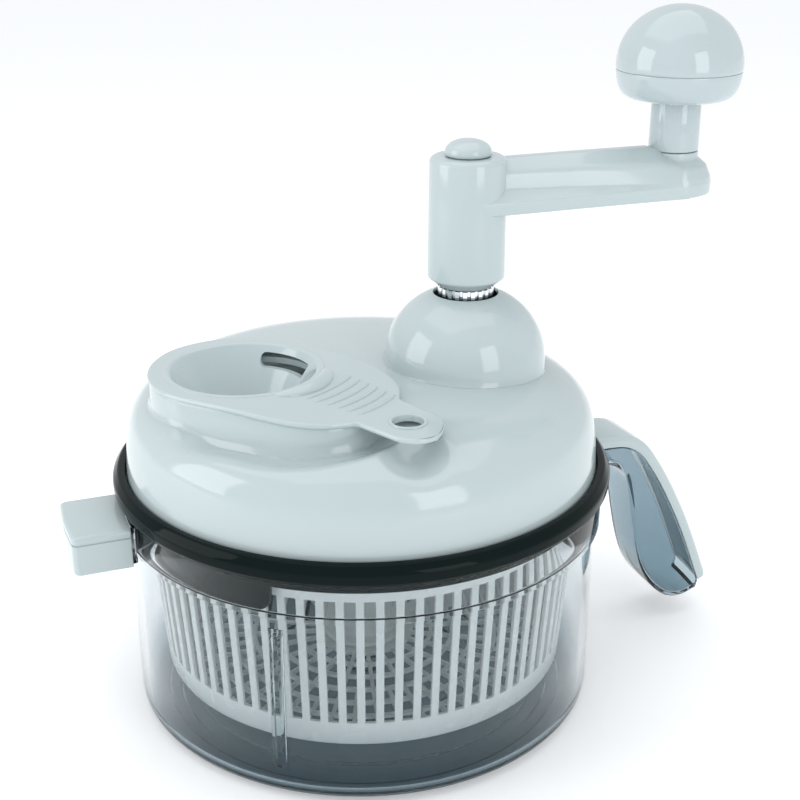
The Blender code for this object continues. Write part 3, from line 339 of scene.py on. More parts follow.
finishes = {
    "white": {"colour": (0.49, 0.57, 0.58), "shade": (0.465, 0.55, 0.56), "gloss": 0.11, "wear": 0.05},
    "knobWhite": {"colour": (0.48, 0.555, 0.575), "shade": (0.46, 0.54, 0.56), "gloss": 0.07, "wear": 0.04},
    "basket": {"colour": (0.92, 0.95, 0.95), "shade": (0.89, 0.93, 0.93), "gloss": 0.26, "wear": 0.08},
    "nylon": {"colour": (0.72, 0.71, 0.65), "shade": (0.66, 0.65, 0.58), "gloss": 0.42, "wear": 0.12},
    "chrome": {"colour": (0.82, 0.84, 0.86), "shade": (0.74, 0.76, 0.78), "gloss": 0.08, "wear": 0.12},
    "steel": {"colour": (0.55, 0.56, 0.57), "shade": (0.48, 0.49, 0.50), "gloss": 0.28, "wear": 0.15},
    "smoke": {"colour": (0.003, 0.008, 0.008), "shade": (0.005, 0.012, 0.012), "gloss": 0.06, "wear": 0.03},
}

clearTintsAndShade = {                     # colour high up, colour at the foot, and the height where they meet
    # the bowl's dark foot colour is painted shade under the bowl
    "bowl": {"top": (0.86, 0.90, 0.915), "foot": (0.16, 0.25, 0.30), "height": 24.0},
    "handle": {"top": (0.50, 0.58, 0.62), "foot": (0.40, 0.50, 0.55), "height": 90.0},
}

white = mouldedPlastic("whiteGloss", **finishes["white"], coat=0.3)
knobWhite = mouldedPlastic("knobGloss", **finishes["knobWhite"], coat=0.4, bump=0.01)
basketWhite = mouldedPlastic("basketSatin", **finishes["basket"])
nylon = mouldedPlastic("gearNylon", **finishes["nylon"], ripple=220.0, bump=0.08)
chrome = mouldedPlastic("brightChrome", **finishes["chrome"], metallic=1.0)
steel = mouldedPlastic("turnedSteel", **finishes["steel"], ripple=900.0, bump=0.06, metallic=1.0)
smoke = mouldedPlastic("smokedPlastic", **finishes["smoke"], bump=0.01, shine=0.08)
clear = clearPlastic("clearPlastic", **clearTintsAndShade["bowl"])
print("materials made")


bowlSizes = {
    "radius": 99.5, "collarRadius": 101.9, "wall": 2.4, "floor": 3.0, "step": 81.0, "height": 98.0,
    "corner": 12.0, "footRadius": 87.0, "footHeight": 1.2, "ribAngle": -128.5, "ringsAt": (46.0, 62.0, 76.0),
}


def bowlProfile(v):
    # half section: flat foot, round corner, upright wall, stepped-out collar, and back down inside
    inner, collarInner = v["radius"] - v["wall"], v["collarRadius"] - v["wall"]
    corners = [(0.0, v["footHeight"]), (v["footRadius"] - 5.0, v["footHeight"]), (v["footRadius"] - 4.0, 0.0),
               (v["footRadius"], 0.0), (v["footRadius"] + 1.0, v["footHeight"]),
               (v["radius"], v["footHeight"]), (v["radius"], v["step"]), (v["collarRadius"], v["step"] + 1.0),
               (v["collarRadius"], v["height"]), (collarInner, v["height"]), (collarInner, v["step"] + 3.0),
               (inner, v["step"] + 1.6), (inner, v["floor"])]
    radii = [0.0, 0.3, 0.5, 0.8, 0.4, v["corner"] - v["footHeight"], 0.5, 0.6, 0.8, 0.8, 0.5, 0.7, 6.0]
    for radius in v["ringsAt"][::-1]:                       # low raised rings on the floor
        corners += [(radius + 1.6, v["floor"]), (radius + 0.9, v["floor"] + 0.9),
                    (radius - 0.9, v["floor"] + 0.9), (radius - 1.6, v["floor"])]
        radii += [0.5, 0.5, 0.5, 0.5]
    corners += [(9.0, v["floor"]), (5.6, 21.0), (2.4, 21.0), (2.4, 12.0), (0.0, 12.0)]
    radii += [2.0, 0.8, 0.2, 0.2, 0.0]
    return roundCorners(corners, radii, 5)


def ribShape(v):
    # an upright rib: a low rounded bump across, drawn up the wall and faded out at both ends
    across = np.linspace(-1.0, 1.0, 15)
    up = np.linspace(14.0, v["step"] - 5.0, 40)
    fade = np.clip(np.minimum(up - up[0], up[-1] - up) / 3.0, 0.0, 1.0) ** 0.5
    bump = np.where(np.abs(across) < 0.35, 0.55, 1.0) * np.sqrt(np.clip(1.0 - across ** 2, 0.0, 1.0))
    r = v["radius"] - 0.35 + 1.15 * bump[None, :] * fade[:, None]
    a = math.radians(v["ribAngle"]) + across * 3.0 / v["radius"]
    front = np.stack([r * np.cos(a), r * np.sin(a), np.repeat(up[:, None], 15, 1)], -1)
    inner = v["radius"] - 0.8
    back = np.stack([inner * np.cos(a), inner * np.sin(a)], -1)[None].repeat(40, 0)
    back = np.concatenate([back, up[:, None, None].repeat(15, 1)], -1)
    return gridShape(np.concatenate([front, back[:, ::-1]], 1), False, True)


handleSizes = {
    "back": ((100.9, 95.2), (106.0, 95.15), (119.0, 94.7), (126.0, 92.4), (131.0, 88.2), (136.5, 80.5),
             (141.5, 72.5), (147.0, 62.3), (152.5, 51.2), (157.5, 39.8), (162.0, 28.6), (166.3, 17.6)),
    "front": ((100.4, 86.8), (107.0, 86.5), (114.0, 85.8), (119.0, 83.8), (122.8, 80.2), (124.8, 76.0),
              (126.8, 66.9), (129.2, 53.5), (132.2, 39.8), (135.9, 28.4), (141.0, 19.2), (147.0, 13.0),
              (152.0, 10.2), (158.5, 9.6), (165.0, 12.0)),
    "halfWidth": 13.0, "wall": 2.3, "coverHeight": 5.2, "coverStart": 106.0,
}


def handleChannel(v):
    # a U section carried between the back line and the front line, rounded where its web meets its sides
    count = 90
    back = evenLine(smoothLine(v["back"]), count)
    front = evenLine(smoothLine(v["front"]), count)
    half, wall = v["halfWidth"], v["wall"]
    depth = np.linalg.norm(front - back, axis=1)
    toFront = (front - back) / depth[:, None]
    rows = []
    for k in range(count):                                   # one section per place along the handle
        d = depth[k]
        inner = max(d - wall, 0.8)
        corners = [(0.3, -half), (d, -half), (d, half), (0.3, half), (0.3, half - wall),
                   (inner, half - wall), (inner, -half + wall), (0.3, -half + wall)]
        section = roundCorners(corners, [0.4, 3.2, 3.2, 0.4, 0.4, 1.4, 1.4, 0.4], 5)
        spot = back[k] + section[:, :1] * toFront[k]
        rows.append(np.column_stack([spot[:, 0], section[:, 1], spot[:, 1]]))
    return gridShape(np.array(rows), False, True)


def handleCap(v):
    # the white cap: a rounded strip section carried along the handle's back, closing over both ends
    line = evenLine(smoothLine(v["back"]), 120)
    line = line[line[:, 0] > v["coverStart"] - 0.2]
    ahead = np.gradient(line, axis=0)
    ahead /= np.linalg.norm(ahead, axis=1)[:, None]
    normal = np.stack([-ahead[:, 1], ahead[:, 0]], -1)
    half, high = v["halfWidth"] + 0.15, v["coverHeight"]
    section = roundCorners([(-half, 0.1), (half, 0.1), (half - 0.2, high), (-half + 0.2, high)],
                           [0.4, 0.4, 2.6, 2.6], 6)
    place = np.linspace(0.0, 1.0, len(line))
    ends = np.clip(np.minimum(place, 1.0 - place) / 0.02, 0.0, 1.0)
    ends = 0.86 + 0.14 * np.sqrt(1.0 - (1.0 - ends) ** 2)
    across = section[None, :, 0] * (0.98 + 0.02 * ends[:, None])
    lift = 0.1 + (section[None, :, 1] - 0.1) * ends[:, None]
    x = line[:, :1] + normal[:, :1] * lift
    z = line[:, 1:] + normal[:, 1:] * lift
    return gridShape(np.stack([x, across, z], -1), False, True)


lugSizes = {"reach": 127.0, "halfWidth": 18.0, "bottom": 79.0, "top": 96.0, "groove": 3.4,
            "edge": 1.4, "root": 102.9}


def lugStub(v):
    # a bar and a wider web of rounded rectangles, drawn straight up
    outline = roundCorners([(-100.6, -10.0), (-112.0, -10.0), (-112.0, 10.0), (-100.6, 10.0)], 1.0, 3)
    web = roundCorners([(-100.4, -15.0), (-104.0, -15.0), (-104.0, 15.0), (-100.4, 15.0)], 1.4, 4)
    return joinShapes(drawnUp(outline, v["bottom"] + 5.0, v["top"] - 5.0),
                      drawnUp(web, v["bottom"] + 0.4, v["top"] - 1.2))


def lugBlock(v):
    # a block with rounded edges: each level is a rounded rectangle, pulled in near top and bottom
    low, high, edge = v["bottom"], v["top"], v["edge"]
    a = np.radians(np.linspace(0.0, 90.0, 5))
    drop, inset = edge * (1.0 - np.sin(a)), edge * (1.0 - np.cos(a))
    seam = high - v["groove"] + np.array([-0.45, -0.3, 0.3, 0.45])
    levels = np.concatenate([low + drop[::-1], seam, high - drop])
    insets = np.concatenate([inset[::-1], [0.0, 0.5, 0.5, 0.0], inset])
    rows = []
    for z, inset in zip(levels, insets):
        half, end = v["halfWidth"] - inset, inset - v["reach"]
        corners = [(-v["root"], -half), (end + 1.0, -half), (end, 0.0), (end + 1.0, half), (-v["root"], half)]
        outline = roundCorners(corners, [0.5, 2.4, 60.0, 2.4, 0.5], 6)
        rows.append(np.column_stack([outline, np.full(len(outline), z)]))
    return gridShape(np.array(rows), False, True)


clearHandle = clearPlastic("clearHandle", **clearTintsAndShade["handle"])
bowlPiece = makePiece("bowlWall", *turned(bowlProfile(bowlSizes), 224), clear, "clear", "bowl_body", 30.0)
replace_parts(bowlPiece, "bowl")
makePiece("bowlRib", *ribShape(bowlSizes), clear, "clear", "bowl_body")
makePiece("handleChannel", *handleChannel(handleSizes), clearHandle, "clear", "bowl_body", 50.0)
makePiece("lugStub", *lugStub(lugSizes), clear, "clear", "bowl_body", 50.0)
handleCover = makePiece("handleCap", *handleCap(handleSizes), white, "white", "bowl_body", 55.0)
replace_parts(handleCover, "handle_cover")
gripCover = makePiece("lugBlock", *lugBlock(lugSizes), white, "white", "bowl_body", 50.0)
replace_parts(gripCover, "grip_cover")
print("bowl, handle and lug made")


ringSizes = {
    "outer": 105.0, "seat": 103.0, "top": 107.3, "bottom": 98.3, "skirtOuter": 98.2, "skirtInner": 96.4,
    "skirtBottom": 93.3, "tabBottom": 82.2, "tabCentres": (-150.0, -30.0, 90.0), "tabSpan": 40.0,
}


def ringProfile(v):
    # half section: a rounded flange standing over the bowl's rim, with its skirt inside the collar
    corners = [(v["skirtInner"], v["skirtBottom"]), (v["skirtOuter"], v["skirtBottom"]),
               (v["skirtOuter"], v["bottom"]), (103.6, v["bottom"]), (v["outer"], 100.4),
               (v["outer"], 104.2), (102.6, v["top"]), (99.7, v["top"]), (99.7, v["seat"]),
               (v["skirtInner"], v["seat"])]
    return roundCorners(corners, [0.5, 0.5, 0.4, 1.4, 2.4, 3.2, 1.6, 0.7, 0.3, 0.5], 6)


def ringTab(v, middle):
    # a curved plate: a rounded rectangle in (arc length, height), given its thickness by two radii
    outer, inner = v["skirtInner"] + 0.25, v["skirtInner"] - 1.7
    reach = math.radians(v["tabSpan"] / 2.0) * outer
    s = np.linspace(-1.0, 1.0, 61)
    s = np.sign(s) * (1.0 - (1.0 - np.abs(s)) ** 1.6)         # closer together at both edges
    edge = 5.0
    fromEdge = np.clip(edge - reach * (1.0 - np.abs(s)), 0.0, edge)
    low = v["tabBottom"] + edge - np.sqrt(edge ** 2 - fromEdge ** 2)
    t = np.linspace(0.0, 1.0, 10)[:, None]
    z = low + (v["skirtBottom"] + 2.5 - low) * t
    a = math.radians(middle) + s[None, :] * reach / outer + 0.0 * t
    sheets = [np.stack([r * np.cos(a), r * np.sin(a), z], -1) for r in (outer, inner)]
    rows, columns = z.shape
    points = np.concatenate([sheet.reshape(-1, 3) for sheet in sheets])
    faces = gridFaces(rows, columns, False, False) + gridFaces(rows, columns, False, False, rows * columns)
    index = np.arange(rows * columns).reshape(rows, columns)
    border = np.concatenate([index[0, :], index[1:, -1], index[-1, -2::-1], index[-2:0:-1, 0]])
    after = np.roll(border, -1)
    faces += np.stack([border, after, after + rows * columns, border + rows * columns], -1).tolist()
    return points, faces


ringPiece = makePiece("smokedRing", *turned(ringProfile(ringSizes), 224), smoke, "smoke", "ring_body", 40.0)
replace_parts(ringPiece, "locking_ring")
for number, middle in enumerate(ringSizes["tabCentres"], start=1):
    makePiece("ringTab%d" % number, *ringTab(ringSizes, middle), smoke, "smoke", "ring_body", 40.0)
print("locking ring made")


lidSizes = {
    "line": ((99.1, 103.4), (99.0, 107.0), (98.6, 114.0), (97.9, 121.5), (95.8, 129.6), (91.6, 135.1),
             (85.8, 138.6), (79.0, 140.75), (70.0, 142.4), (58.0, 143.6), (40.0, 144.5), (20.0, 145.0),
             (0.0, 145.1)),
    "wall": 2.5, "recess": (-7.0, -80.0), "recessRadius": 15.0, "recessDepth": 4.6, "cupHole": 31.1,
}
funnelSizes = {
    "cup": (-50.0, 1.0), "tail": -55.0, "lean": 6.6, "plateTop": 150.5, "tabTop": 147.2, "thickness": 2.2,
    "bodyRadius": 38.5, "bodyLength": 68.0, "tabCentre": 84.0, "tabRadius": 13.5, "mouth": 30.4, "foot": 16.0,
    "cupFloor": 127.0, "valleyDepth": 7.0, "valleyWidth": 17.0, "wallGap": 0.15,
    "holeAt": 82.0, "holeRadius": 6.2,
    "slotHeights": (142.1, 147.7), "slotStart": 3.0, "slotSpan": 57.0, "slotLength": 33.0,
    "lipArc": 31.0, "lipTurn": 2.0, "lipWidth": (1.0, 6.6), "lipRise": (0.1, 2.5),
    "ridges": 6, "ridgeStart": 41.5, "ridgePitch": 4.7, "ridgeHalf": 15.6, "ridgeShrink": 0.6,
    "ridgeShift": 3.6, "ridgeBow": 1.6, "ridgeSize": 0.85,
}
# the chute wall's section: reach past the body's outline, lift, and whether the lift is from the plate
chuteRows = ((1.5, -0.5, False), (0.4, 0.2, False), (-0.3, 0.8, False), (-0.6, 1.7, False),
             (-0.75, -1.0, True), (-1.1, 0.0, True), (-3.0, 0.0, True), (-3.2, -0.6, True),
             (-3.2, -1.2, False))


def lidHollow(x, y):
    # depth of the finger recess plus the valley in front of the chute wall, both smooth bumps
    v = funnelSizes
    rx, ry = lidSizes["recess"]
    reach = np.clip(np.hypot(x - rx, y - ry) / lidSizes["recessRadius"], 0.0, 1.0)
    turn = math.radians(v["tail"])
    dx, dy = x - v["cup"][0], y - v["cup"][1]
    s, across = dx * math.cos(turn) + dy * math.sin(turn), dy * math.cos(turn) - dx * math.sin(turn)
    near = np.clip(s, 0.0, 35.0)
    out = np.hypot(s - near, across) - (v["bodyRadius"] - 0.09 * near)
    rise = np.clip((out + 4.0) / 4.0, 0.0, 1.0)
    fall = (1.0 - np.clip(out / v["valleyWidth"], 0.0, 1.0) ** 2) ** 2
    along, side = np.clip((s + 8.0) / 30.0, 0.0, 1.0), np.clip((6.0 - across) / 16.0, 0.0, 1.0)
    even = along * along * (3.0 - 2.0 * along) * side * side * (3.0 - 2.0 * side)
    valley = v["valleyDepth"] * rise * rise * (3.0 - 2.0 * rise) * fall * even
    finger = lidSizes["recessDepth"] * (1.0 - reach ** 2) ** 1.5
    return np.maximum(valley, finger)


def lidHeight(x, y):
    # height of the lid's outside over a point: its turned line less its hollows
    line = smoothLine(lidSizes["line"], 12)[::-1]
    z = np.interp(np.hypot(x, y), line[:, 0], line[:, 1])
    return z - lidHollow(x, y)


def lidSurface(v):
    # the lid's line turned about the axis, outside and inside, with its hollows pressed into both
    line = smoothLine(v["line"], 9)
    inside = sideways(line, v["wall"])
    inside[-1] = (0.0, line[-1, 1] - v["wall"])
    inside[0] = (inside[0, 0], line[0, 1])
    a = np.arange(288) * 2.0 * math.pi / 288
    sheets = []
    for sheet in (line, inside[::-1]):
        r, z = sheet[:, :1], sheet[:, 1:]
        x, y = r * np.cos(a), r * np.sin(a)
        top = np.clip((z - 112.0) / 12.0, 0.0, 1.0)
        sheets.append(np.stack([x, y, z - top * lidHollow(x, y)], -1))
    return gridShape(np.concatenate(sheets), True, True)


def bodyHalf(s):
    # half width of the teardrop's body: a circle behind the cup, then a taper that closes at its length
    v = funnelSizes
    headHalf = np.sqrt(np.clip(v["bodyRadius"] ** 2 - s ** 2, 0.0, None))
    closing = np.sqrt(np.clip(1.0 - (s / v["bodyLength"]) ** 6, 0.0, None))
    taper = v["bodyRadius"] * (1.0 - 0.12 * s / 45.0) * closing
    return np.where(s < 0.0, headHalf, taper)


def plateHalf(s):
    # half width of the whole plate: the body blended into the finger tab by a fifth-power mean
    v = funnelSizes
    ahead = np.clip((v["tabCentre"] - s) / 30.0, 0.0, 1.0)
    straight = v["tabRadius"] + 1.5 * ahead
    end = np.sqrt(np.clip(v["tabRadius"] ** 2 - (s - v["tabCentre"]) ** 2, 0.0, None))
    tab = np.where(s > v["tabCentre"], end, straight) * np.clip((s - 25.0) / 10.0, 0.0, 1.0)
    return (bodyHalf(s) ** 5 + tab ** 5) ** 0.2


def plateHeight(s):
    # top of the plate: level over the cup, eased down to the finger tab
    v = funnelSizes
    t = np.clip((s - 20.0) / (v["tabCentre"] - 20.0), 0.0, 1.0)
    return v["plateTop"] - (v["plateTop"] - v["tabTop"]) * t * t * (3.0 - 2.0 * t)


def tailPlace(s, offset):
    # plan position of a point s along the tail and offset to its right; the tail's end leans forward
    v = funnelSizes
    turn = math.radians(v["tail"])
    lean = v["lean"] * np.clip((s - 55.0) / 42.5, 0.0, None) ** 2
    across = offset - lean
    x = v["cup"][0] + s * math.cos(turn) - across * math.sin(turn)
    y = v["cup"][1] + s * math.sin(turn) + across * math.cos(turn)
    return x, y


def outlineOf(half, first, last, count=120):
    # closed outline as tail coordinates (s, offset), dense at both round ends
    s = (first + last) / 2.0 - (last - first) / 2.0 * np.cos(np.linspace(0.0, math.pi, count))
    w = half(s)
    w[0] = w[-1] = 0.0
    return np.concatenate([np.stack([s, w], -1), np.stack([s, -w], -1)[-2:0:-1]])


def chuteWall():
    # raised wall under the plate: the body's outline moved in and out, flared where it meets the lid
    v = funnelSizes
    outline = evenLine(outlineOf(bodyHalf, -v["bodyRadius"], v["bodyLength"]), 241)[:-1]
    ahead = np.roll(outline, -1, 0) - np.roll(outline, 1, 0)
    ahead /= np.linalg.norm(ahead, axis=1)[:, None]
    out = np.stack([-ahead[:, 1], ahead[:, 0]], -1)
    rows = []
    top = plateHeight(outline[:, 0]) - v["thickness"] - v["wallGap"]
    for reach, lift, fromPlate in chuteRows:
        place = outline + out * reach
        x, y = tailPlace(place[:, 0], place[:, 1])
        ground = lidHeight(x, y)
        z = top + lift if fromPlate else np.minimum(ground + lift, top - 1.1)
        rows.append(np.stack([x, y, z], -1))
    return gridShape(np.array(rows), True, True)


lidPiece = makePiece("lidShell", *lidSurface(lidSizes), white, "white", "lid_body", 30.0)
applyCut(lidPiece, *drawnUp(circle(lidSizes["cupHole"], *funnelSizes["cup"], 96), 110.0, 170.0), sharp=30.0)
applyCut(lidPiece, *drawnUp(circle(8.4, crankX, crankY, 48), 110.0, 170.0), sharp=30.0)
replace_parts(lidPiece, "lid_shell")
makePiece("chuteWall", *chuteWall(), white, "white", "lid_body", 50.0)
bossSizes = {"shaft": (8.3, 11.0, 137.0, 152.0), "screw": (1.8, 4.2, 124.0), "screwRoof": 1.3}
inner, outer, low, high = bossSizes["shaft"]
tube = roundCorners([(inner, low), (outer, low), (outer, high), (inner, high)], 0.5, 3)
makePiece("shaftBoss", *turned(tube, 64, crankX, crankY), white, "white", "lid_body")
inner, outer, low = bossSizes["screw"]
for number in (1, 2, 3, 4):
    screwX, screwY = nodeMiddle("gearbox_screw_%d" % number)[:2]
    roof = float(lidHeight(screwX, screwY)) - bossSizes["screwRoof"]
    post = roundCorners([(inner, low), (outer, low), (outer, roof), (inner, roof)], 0.4, 3)
    makePiece("screwBoss%d" % number, *turned(post, 32, screwX, screwY), white, "white", "lid_body")

domeSizes = {"radius": 34.0, "arc": 30.0, "base": 145.6, "mouth": 14.2, "wall": 2.4}


def domeShape(v):
    # a quarter arc set out from the axis and turned; its foot is dropped onto the lid with a small flare
    lean = v["radius"] - v["arc"]
    last = math.acos((v["mouth"] - lean) / v["arc"])
    b = np.linspace(0.0, last, 28)
    outer = np.stack([lean + v["arc"] * np.cos(b), v["base"] + v["arc"] * np.sin(b)], -1)
    thin = v["arc"] - v["wall"]
    c = np.linspace(math.acos(np.clip((v["mouth"] - lean) / thin, -1, 1)), 0.0, 20)
    inner = np.stack([lean + thin * np.cos(c), v["base"] + thin * np.sin(c)], -1)
    lip = np.array([[v["mouth"] - 0.5, outer[-1, 1] + 0.25], [v["mouth"] - 0.9, outer[-1, 1] - 0.6]])
    profile = np.concatenate([[(v["radius"] + 0.5, 0.0), (v["radius"] + 0.1, 0.7)], outer[1:], lip, inner[1:],
                              [(v["radius"] - v["wall"], 0.0)]])
    a = np.arange(160) * 2.0 * math.pi / 160
    r = profile[:, :1]
    x, y = crankX + r * np.cos(a), crankY + r * np.sin(a)
    ground, high = lidHeight(x, y) + 0.05, profile[:, 1:] + 0.0 * a
    z = np.where(high < 10.0, ground + high, np.maximum(high, ground + 0.9))
    return gridShape(np.stack([x, y, z], -1), True, True)


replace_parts(makePiece("bearingDome", *domeShape(domeSizes), white, "white", "lid_body", 40.0), "bearing_dome")
print("lid made")


crankSizes = {
    "hubBottom": 177.4, "hubTop": 231.0, "hubRadius": 16.1, "armBottom": 208.8, "crease": 214.2,
    "length": 95.0, "endRadius": 16.8, "stub": 226.8, "neck": 10.6,
}
# half sections of the bar at shares of its length: half width and height of each corner, base first
barStations = (0.0, 0.45, 0.86, 1.0)
barCorners = (
    ((15.4, 208.8), (15.9, 214.2), (9.2, 218.7), (8.6, 225.2), (0.0, 229.6)),
    ((15.6, 208.8), (16.0, 214.2), (11.6, 217.2), (10.4, 225.0), (0.0, 229.5)),
    ((15.9, 208.7), (16.2, 214.2), (15.4, 216.1), (12.6, 224.4), (0.0, 229.2)),
    ((16.0, 208.6), (16.4, 214.2), (16.0, 216.6), (14.0, 221.0), (0.0, 226.6)))


def hubProfile(v):
    # half section of the upright hub: a long chamfer below, a slight taper and an eased top edge
    r, low, high = v["hubRadius"], v["hubBottom"], v["hubTop"]
    corners = [(6.4, low), (r - 4.8, low), (r, low + 3.8), (r - 0.4, high), (8.0, high), (8.0, 224.0),
               (6.4, 224.0)]
    return roundCorners(corners, [0.3, 0.8, 1.4, 2.6, 0.5, 0.3, 0.3], 6)


def barShape(v):
    # the bar's section is blended between its stations by straight lines, then its corners are rounded
    count = 72
    share = np.linspace(0.0, 1.0, count)
    corners = np.array(barCorners)
    rows = []
    for t in share:                                            # one section per place along the bar
        side = np.stack([[np.interp(t, barStations, corners[:, k, m]) for m in (0, 1)] for k in range(5)])
        back = [(2.2, side[4, 1]), (-2.2, side[4, 1])]
        section = np.concatenate([side[:4], back, side[3::-1] * (-1.0, 1.0)])
        section = roundCorners(section, [0.9, 0.8, 2.2, 5.5, 6.0, 6.0, 5.5, 2.2, 0.8, 0.9], 6)
        rows.append(np.column_stack([np.full(len(section), crankX + t * v["length"]), crankY + section[:, 0],
                                     section[:, 1]]))
    return gridShape(np.array(rows), False, True)


def armEndProfile(v):
    # half section of the arm's round end and the short stub that the knob's sleeve stands on
    r, low = v["endRadius"], v["armBottom"] - 0.4
    crease, neck, stub = v["crease"], v["neck"], v["stub"]
    corners = [(0.0, low), (r - 2.6, low), (r, low + 1.2), (r, crease), (r - 0.5, crease + 2.4),
               (r - 2.4, crease + 6.8), (neck + 0.4, 223.8), (neck, 224.6), (neck, stub), (0.0, stub)]
    return roundCorners(corners, [0.0, 0.8, 0.8, 1.2, 2.0, 3.0, 0.8, 0.4, 0.4, 0.0], 5)


hub = turned(hubProfile(crankSizes), 96, crankX, crankY)
armEnd = turned(armEndProfile(crankSizes), 80, knobX, knobY)
armParts = joinShapes(hub, barShape(crankSizes), armEnd)
arm = makePiece("crankArm", *armParts, white, "white", "crank_body", 40.0)
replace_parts(arm, "crank_arm")

capSizes = {"radius": 9.5, "foot": 231.25, "rise": 6.6, "brim": 1.4, "plugRadius": 7.5, "plugFoot": 228.5}


def capProfile(v):
    # half section: a plug in the hub, a thin brim, and a low dome as a quarter ellipse
    a = np.linspace(0.0, math.pi / 2.0, 14)
    reach, brim, lift = v["radius"], v["foot"] + v["brim"], v["rise"] - v["brim"]
    dome = np.stack([reach * np.cos(a) ** 0.9, brim + lift * np.sin(a)], -1)
    dome[-1, 0] = 0.0
    plug = [(0.0, v["plugFoot"]), (v["plugRadius"], v["plugFoot"]), (v["plugRadius"], v["foot"])]
    return np.concatenate([plug, [(reach - 0.4, v["foot"]), (reach, v["foot"] + 0.4)], dome])


capShape = turned(capProfile(capSizes), 64, crankX, crankY)
cap = makePiece("crankCap", *capShape, white, "white", "crank_body", 50.0)
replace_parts(cap, "crank_cap")

knobSizes = {
    "radius": 26.3, "seam": 260.2, "top": 286.6, "underside": 248.4, "sleeve": 10.6, "sleeveFoot": 227.1,
    "wall": 2.4, "bore": 4.6, "room": 9.0, "roomFoot": 256.4,
}


def knobDome(v):
    # half section of the knob's upper half: a rounded skirt that turns over into a full dome
    middle, low, r = v["seam"] + 2.2, v["seam"] + 0.04, v["radius"]
    b = np.linspace(0.0, math.pi / 2.0, 26)

    def arcAt(inset):
        reach, lift = r - inset, v["top"] - middle - inset
        line = np.stack([reach * np.cos(b) ** 0.97, middle + lift * np.sin(b)], -1)
        line[-1, 0] = 0.0
        return line

    skirt = [(r - v["wall"], low), (r - 0.45, low), (r - 0.16, low + 0.25), (r - 0.04, low + 1.1)]
    return np.concatenate([skirt, arcAt(0.0), arcAt(v["wall"])[::-1]])


def knobFoot(v):
    # half section of the knob's lower half: flat underneath, a full curve up to the seam
    low, seam, bore, room = v["underside"], v["seam"], v["bore"], v["room"]
    curl = smoothLine([(17.2, low), (19.6, low + 0.15), (21.8, low + 0.95), (23.7, low + 2.6),
                       (25.1, low + 5.4), (25.9, low + 8.8), (26.15, seam - 0.3), (25.85, seam)], 5)
    inside = [(room, seam), (room, v["roomFoot"]), (bore, v["roomFoot"]), (bore, low + 0.6)]
    return np.concatenate([[(10.8, low + 0.6), (11.6, low)], curl, inside])


def sleeveProfile(v):
    # half section of the neck: a plain tube that narrows slightly upwards
    r, bore, low, high = v["sleeve"], v["bore"], v["sleeveFoot"], v["underside"] - 0.3
    return roundCorners([(bore, low), (r, low), (r - 0.25, high), (bore, high)], [0.2, 0.6, 0.5, 0.2], 4)


for name, node, profile in (("knobShell", "knob_shell", knobDome(knobSizes)),
                            ("knobFoot", "knob_base", knobFoot(knobSizes)),
                            ("knobNeck", "knob_sleeve", sleeveProfile(knobSizes))):
    piece = makePiece(name, *turned(profile, 96, knobX, knobY), knobWhite, "white", "knob_body", 42.0)
    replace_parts(piece, node)
print("crank and knob made")


def plateShape():
    # the teardrop plate: for each place along the tail, a flat section with round edges; z follows its top
    v = funnelSizes
    first, last = -v["bodyRadius"], v["tabCentre"] + v["tabRadius"]
    s = (first + last) / 2.0 - (last - first) / 2.0 * np.cos(np.linspace(0.0, math.pi, 150))
    w = plateHalf(s)
    w[0] = w[-1] = 0.01
    edge = np.minimum(1.0, w * 0.5)
    a = np.linspace(-90.0, 90.0, 9) * math.pi / 180.0
    side = np.stack([np.cos(a) - 1.0, np.sin(a)], -1)            # round edge in units of half thickness
    thick = v["thickness"] / 2.0
    offset = w[:, None] + side[None, :, 0] * edge[:, None]
    right = np.stack([offset, thick * side[None, :, 1] + 0.0 * offset], -1)
    inner = np.stack([np.linspace(0.9, -0.9, 13)[None, :] * w[:, None], np.full((len(s), 13), thick)], -1)
    left = right[:, ::-1] * np.array([-1.0, 1.0])
    under = inner[:, ::-1] * np.array([1.0, -1.0])
    section = np.concatenate([right, inner, left, under], 1)
    x, y = tailPlace(s[:, None] + 0.0 * section[..., 0], section[..., 0])
    z = plateHeight(s)[:, None] - thick + section[..., 1]
    return gridShape(np.stack([x, y, z], -1), False, True)


def cupShape():
    # the cup turned about its own axis: rolled lip, straight cone and a flat floor with a round corner
    v = funnelSizes
    mouth, foot, low, top = v["mouth"], v["foot"], v["cupFloor"], v["plateTop"]
    corners = [(0.0, low), (foot, low), (mouth + 0.5, top - 2.0), (mouth + 2.2, top - 1.6),
               (mouth + 2.2, top + 0.35), (mouth - 0.4, top + 0.35), (foot - 0.6, low + 2.0),
               (0.0, low + 2.0)]
    profile = roundCorners(corners, [0.0, 4.0, 1.0, 0.3, 0.6, 1.9, 5.0, 0.0], 7)
    return turned(profile, 160, *v["cup"])


def crescentLip():
    # a raised crescent beside the mouth: a half-sine bump across, fading out along its arc
    v = funnelSizes
    a = np.linspace(-v["lipArc"], v["lipArc"], 61)
    fade = np.sqrt(np.clip(1.0 - (a / v["lipArc"]) ** 2, 0.0, 1.0))
    across = np.linspace(0.0, 1.0, 17)
    reach = v["mouth"] + 1.2 + (v["lipWidth"][0] + v["lipWidth"][1] * fade[:, None]) * across
    bump = np.sin(math.pi * across ** 0.8) ** 0.7
    z = v["plateTop"] - 0.3 + (v["lipRise"][0] + v["lipRise"][1] * fade[:, None]) * bump
    turn = np.radians(v["tail"] + v["lipTurn"] + a)[:, None]
    x, y = v["cup"][0] + reach * np.cos(turn), v["cup"][1] + reach * np.sin(turn)
    upper = np.stack([x, y, z], -1)
    lower = np.stack([x, y, np.full_like(z, v["plateTop"] - 1.0)], -1)[:, ::-1]
    return gridShape(np.concatenate([upper, lower], 1), False, True)


